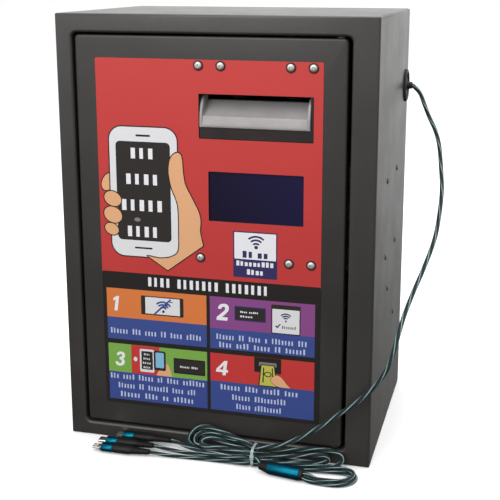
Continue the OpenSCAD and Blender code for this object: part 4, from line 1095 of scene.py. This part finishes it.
# ------------------------------------------------------------------ grommet: a rubber ring and its collar
bm = bmesh.new()
lathe(bm, [(11.6, 145.02), (11.7, 146.0), (12.2, 146.9), (13.0, 147.4), (14.2, 147.5), (15.3, 147.1), (16.1, 146.3), (16.3, 145.4), (16.1, 145.01), (12.75, 145.0), (12.75, 143.5), (14.2, 143.3), (15.0, 142.6), (14.8, 141.0), (13.8, 140.5), (11.6, 140.5)], "x", (0, 82.5, 325), 64, closed=True)
grommet = finish_bm(bm, "lead_grommet_ring", MAT["grommet_rubber"], "cabinet", 50)
bm = bmesh.new()
lathe(bm, [(2.1, 140.6), (2.1, 151.6), (2.4, 152.0), (3.0, 151.9), (3.3, 151.2), (3.5, 149.6), (3.9, 147.6), (4.7, 146.3), (6.4, 145.9), (6.4, 143.2), (4.4, 142.4), (3.6, 140.6)], "x", (0, 82.5, 325), 64, closed=True)
nose = finish_bm(bm, "lead_grommet_nose", MAT["grommet_rubber"], "cabinet", 50)
# the web is a lighter grey than the ring's rubber: painted light for the grommet's bright centre
bm = bmesh.new()
lathe(bm, [(6.42, 145.75), (9.6, 145.6), (11.55, 145.75), (11.55, 143.6), (10.4, 143.2), (6.42, 143.3)], "x", (0, 82.5, 325), 64, closed=True)
web = finish_bm(bm, "lead_grommet_web", plastic("web_rubber_painted_light", (84, 85, 80), (104, 105, 99), (0.4, 0.56), bump=0.25), "cabinet", 50)
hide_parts("lead_grommet")

# ------------------------------------------------------------------ cam lock: threaded body with a rolled bezel, plug with its key slot
bm = bmesh.new()
prof = [(5.56, -128.0), (5.56, -146.5), (5.9, -146.95), (6.5, -147.1), (7.0, -146.75), (7.5, -146.8), (8.6, -147.35), (9.6, -147.3), (10.5, -146.7), (10.95, -145.8), (10.95, -145.01), (9.45, -145.01), (9.45, -142.6)]
x = -142.0
while x < -128.6:
    prof += [(9.05, x), (9.45, x + 0.5)]
    x += 1.0
lathe(bm, prof + [(9.0, -128.0)], "x", (0, -78, 225), 56, closed=True)
lock_bezel = finish_bm(bm, "lock_bezel", MAT["lock_chrome"], "cabinet", 25)
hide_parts("lock_body")
bm = bmesh.new()
lathe(bm, [(0, -146.9), (4.4, -146.9), (5.1, -146.75), (5.44, -146.3), (5.44, -124.0), (3.0, -124.0), (3.0, -120.4), (2.7, -120.2), (0, -120.2)], "x", (0, -78, 225), 48, closed=False)
lock_face = finish_bm(bm, "lock_face", MAT["lock_chrome"], None)
bm = bmesh.new()
slot = [(-0.6, -3.4), (0.6, -3.4), (0.6, -1.0), (0.25, -0.6), (0.25, 0.8), (0.6, 1.2), (0.6, 3.4), (-0.6, 3.4), (-0.6, 0.2), (-0.3, -0.2), (-0.3, -1.6), (-0.6, -2.0)]
loft(bm, [[(x, -78 + a, 225 + b) for a, b in slot] for x in (-149, -141.5)])
cut(lock_face, [finish_bm(bm, "cutter", MAT["black_screw"], None)])
sharpen(lock_face, 30)
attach(lock_face, "lock_barrel")
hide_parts("lock_plug")
# black wafer blocks deep in the key slot: painted shade, so the slot's bottom reads dark
bm = bmesh.new()
for k in range(4):
    box_bm(bm, -145.4 + k * 0.9, -144.9 + k * 0.9, -78.24, -77.72, 221.8, 228.2, 0.08)
finish_bm(bm, "lock_wafers_painted_shade", MAT["black_screw"], "lock_barrel")

# ------------------------------------------------------------------ controller board with its parts
bm = bmesh.new()
loft(bm, [xz_ring(y, -114 + d, -34 - d, 60 + d, 160 - d, 2, 6) for y, d in ((-96, 0.1), (-95.9, 0), (-94.5, 0), (-94.4, 0.1))])
pcb = finish_bm(bm, "controller_pcb", MAT["mask_green"], None)
cut(pcb, [cutter([[(x + 1.6 * math.cos(t), y, z + 1.6 * math.sin(t)) for t in (2 * math.pi * i / 20 for i in range(20))] for y in (-97, -93)]) for x in (-109, -39) for z in (65, 155)])
sharpen(pcb, 30)
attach(pcb, "front_door")
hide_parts("controller_board")
SF = -94.42
chips, legs, blocks, tall, relay, tin = (bmesh.new() for _ in range(6))
def gull(x0, x1, z0, z1, top, pitch, sides):
    """A moulded package with bent legs along the named sides."""
    box_bm(chips, x0 + 1.2, x1 - 1.2, SF + 0.1, top, z0 + (1.2 if "z" in sides else 0), z1 - (1.2 if "z" in sides else 0), 0.3, axis=1)
    if "x" in sides:
        z = z0 + 2
        while z < z1 - 1.8:
            for a, b in ((x0, x0 + 1.5), (x1 - 1.5, x1)):
                box_bm(legs, a, b, SF, SF + 0.55, z - 0.22, z + 0.22, 0.08)
            z += pitch
    if "z" in sides:
        x = x0 + 2
        while x < x1 - 1.8:
            for a, b in ((z0, z0 + 1.5), (z1 - 1.5, z1)):
                box_bm(legs, x - 0.22, x + 0.22, SF, SF + 0.55, a, b, 0.08, axis=2)
            x += pitch
gull(-92, -72, 100, 120, -92.5, 0.9, "xz")
gull(-60, -48, 90, 106, -92.8, 1.27, "x")
gull(-96, -86, 76, 84, -92.9, 1.27, "x")
gull(-100, -92, 128, 138, -92.9, 1.27, "x")
box_bm(blocks, -110, -100, SF, -84.1, 70, 104, 0.5, axis=1)
for i in range(6):
    lathe(legs, [(0, -84.2), (1.9, -84.15), (2.1, -84.0), (2.1, -84.4), (0, -84.4)], "y", (-105, 0, 73.2 + 5.5 * i), 20, closed=False)
box_bm(tall, -52, -38, SF, -85.2, 124, 152, 0.5, axis=1)
for i in range(8):
    for x in (-48, -42):
        box_bm(legs, x - 0.35, x + 0.35, -86, -85.0, 127.6 + 3 * i - 0.35, 127.6 + 3 * i + 0.35, 0.1, axis=1)
box_bm(relay, -84, -64, SF, -86.1, 134, 152, 0.8, axis=1)
for x, z, r, h in ((-98, 150, 4, 10), (-108, 118, 3.2, 8), (-58, 72, 5, 12), (-70, 70, 4, 10)):
    lathe(tin, [(0, SF), (r, SF), (r, SF + 1.0), (r - 0.25, SF + 1.4), (r, SF + 1.8), (r, SF + h - 0.4), (r - 0.4, SF + h), (r - 0.9, SF + h - 0.15), (0, SF + h - 0.15)], "y", (x, 0, z), 28, closed=False)
for i in range(26):
    x = -90 + (i * 37 % 52)
    z = 66 + (i * 61 % 60)
    if (-94 < x < -70 and 98 < z < 122) or (-62 < x < -46 and 88 < z < 108) or (-98 < x < -84 and 74 < z < 86) or (-76 < x < -52 and 64 < z < 80):
        continue
    (box_bm(chips, x - 1, x + 1, SF, SF + 0.5, z - 0.6, z + 0.6, 0.1, axis=1) if i % 3 else box_bm(tin, x - 0.8, x + 0.8, SF, SF + 0.7, z - 0.5, z + 0.5, 0.1, axis=1))
finish_bm(chips, "board_chips", MAT["chip_black"], "front_door", 30)
finish_bm(legs, "board_legs", MAT["tinned"], "front_door", 30)
finish_bm(blocks, "board_terminal_block", MAT["block_green"], "front_door", 30)
finish_bm(tall, "board_header", MAT["nylon_white"], "front_door", 30)
finish_bm(relay, "board_relay", MAT["relay_blue"], "front_door", 30)
finish_bm(tin, "board_capacitors", MAT["tinned"], "front_door", 30)

# ------------------------------------------------------------------ note plate's spring, with closed end turns
coil = []
for i in range(6 * 40 + 1):
    turn = i / 40
    y = 11.4 + 1.7 * turn if turn < 1 else (13.1 + (turn - 1) * 11.55 if turn < 5 else 59.3 + 1.7 * (turn - 5))
    coil.append(Vector((38.7 + 14 * math.cos(2 * math.pi * turn), y, 258 + 14 * math.sin(2 * math.pi * turn))))
spring = tube("note_plate_spring", coil, 0.8, MAT["spring_steel"], 10)
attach(spring, "cash_box")
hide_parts("plate_spring")
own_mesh(spring)

# ------------------------------------------------------------------ blades inside the mains inlet
bm = bmesh.new()
for x, z in ((74.0, 47.9), (67.2, 42.0), (80.8, 42.0)):
    box_bm(bm, x - 1.0, x + 1.0, 86.6, 99.5, z - 2.0, z + 2.0, 0.35, axis=1)
finish_bm(bm, "inlet_blades", MAT["tip_steel"], "cabinet")

# ------------------------------------------------------------------ finishes for the carried-over CAD parts
SLOT = {s["node"]: s["material_slot"] for s in frame["record"]["subparts"]}
gone = {"lead_cord", "lead_hank", "branch_loop"}
for node, ob in frame["nodes"].items():
    mat = MAT["black_plastic"] if node == "hinge_bushes" else MAT["black_screw"] if node == "hinge_pins" else MAT[SLOT[node]]
    ob.data.materials.clear()
    ob.data.materials.append(mat)

# ------------------------------------------------------------------ floor and light
bm = bmesh.new()
bmesh.ops.create_circle(bm, cap_ends=True, segments=64, radius=14)
me = bpy.data.meshes.new("floor")
bm.to_mesh(me)
bm.free()
floor = bpy.data.objects.new("floor", me)
SC.collection.objects.link(floor)
n = Nodes("floor_paper")
n.p.inputs["Emission Color"].default_value = (1, 1, 1, 1)
n.p.inputs["Emission Strength"].default_value = 0.16
floor.data.materials.append(n.done(n.mix(n.noise(3, 3), srgb((240, 240, 240)), srgb((246, 246, 246))), n.remap(n.noise(30, 3), 0.3, 0.7, 0.8, 0.9), n.bump(n.noise(900, 2), 0.03, 0.0002), spec=0.1))
floor.visible_diffuse = False
floor.visible_glossy = False

world = bpy.data.worlds.new("studio")
SC.world = world
world.use_nodes = True
wt = world.node_tree
bg = wt.nodes["Background"]
tc = wt.nodes.new("ShaderNodeTexCoord")
sep = wt.nodes.new("ShaderNodeSeparateXYZ")
wt.links.new(tc.outputs["Generated"], sep.inputs[0])
def ramp(sock, a, b, lo, hi):
    mr = wt.nodes.new("ShaderNodeMapRange")
    mr.interpolation_type = "SMOOTHSTEP"
    wt.links.new(sock, mr.inputs[0])
    for k, v in enumerate((a, b, lo, hi)):
        mr.inputs[k + 1].default_value = v
    return mr.outputs[0]
both = wt.nodes.new("ShaderNodeMath")
both.operation = "MULTIPLY"
wt.links.new(ramp(sep.outputs[2], -0.5, 0.05, 0.12, 1.0), both.inputs[0])
wt.links.new(ramp(sep.outputs[1], -0.5, 0.5, 0.78, 1.15), both.inputs[1])
lp = wt.nodes.new("ShaderNodeLightPath")
mx = wt.nodes.new("ShaderNodeMix")
wt.links.new(lp.outputs["Is Camera Ray"], mx.inputs[0])
wt.links.new(both.outputs[0], mx.inputs[2])
mx.inputs[3].default_value = 1.0
wt.links.new(mx.outputs[0], bg.inputs[1])
bg.inputs[0].default_value = (1, 1, 1, 1)

def area(name, loc, target, size, energy, col=(1, 1, 1)):
    d = bpy.data.lights.new(name, "AREA")
    d.energy, d.size, d.color = energy, size, col
    o = bpy.data.objects.new(name, d)
    SC.collection.objects.link(o)
    o.location = loc
    o.rotation_mode = "QUATERNION"
    o.rotation_quaternion = (Vector(target) - Vector(loc)).to_track_quat("-Z", "Y")
    return o
area("key", (-0.2, -0.8, 1.2), (0, -0.1, 0.32), 0.7, 6.5)
area("front", (-0.62, -1.8, 0.84), (0, -0.1, 0.34), 0.9, 9.5)
area("side", (2.0, 0.7, 1.5), (0.1, 0, 0.3), 1.2, 12)
area("top", (0.1, 0.5, 1.9), (0, 0, 0.4), 1.4, 18)
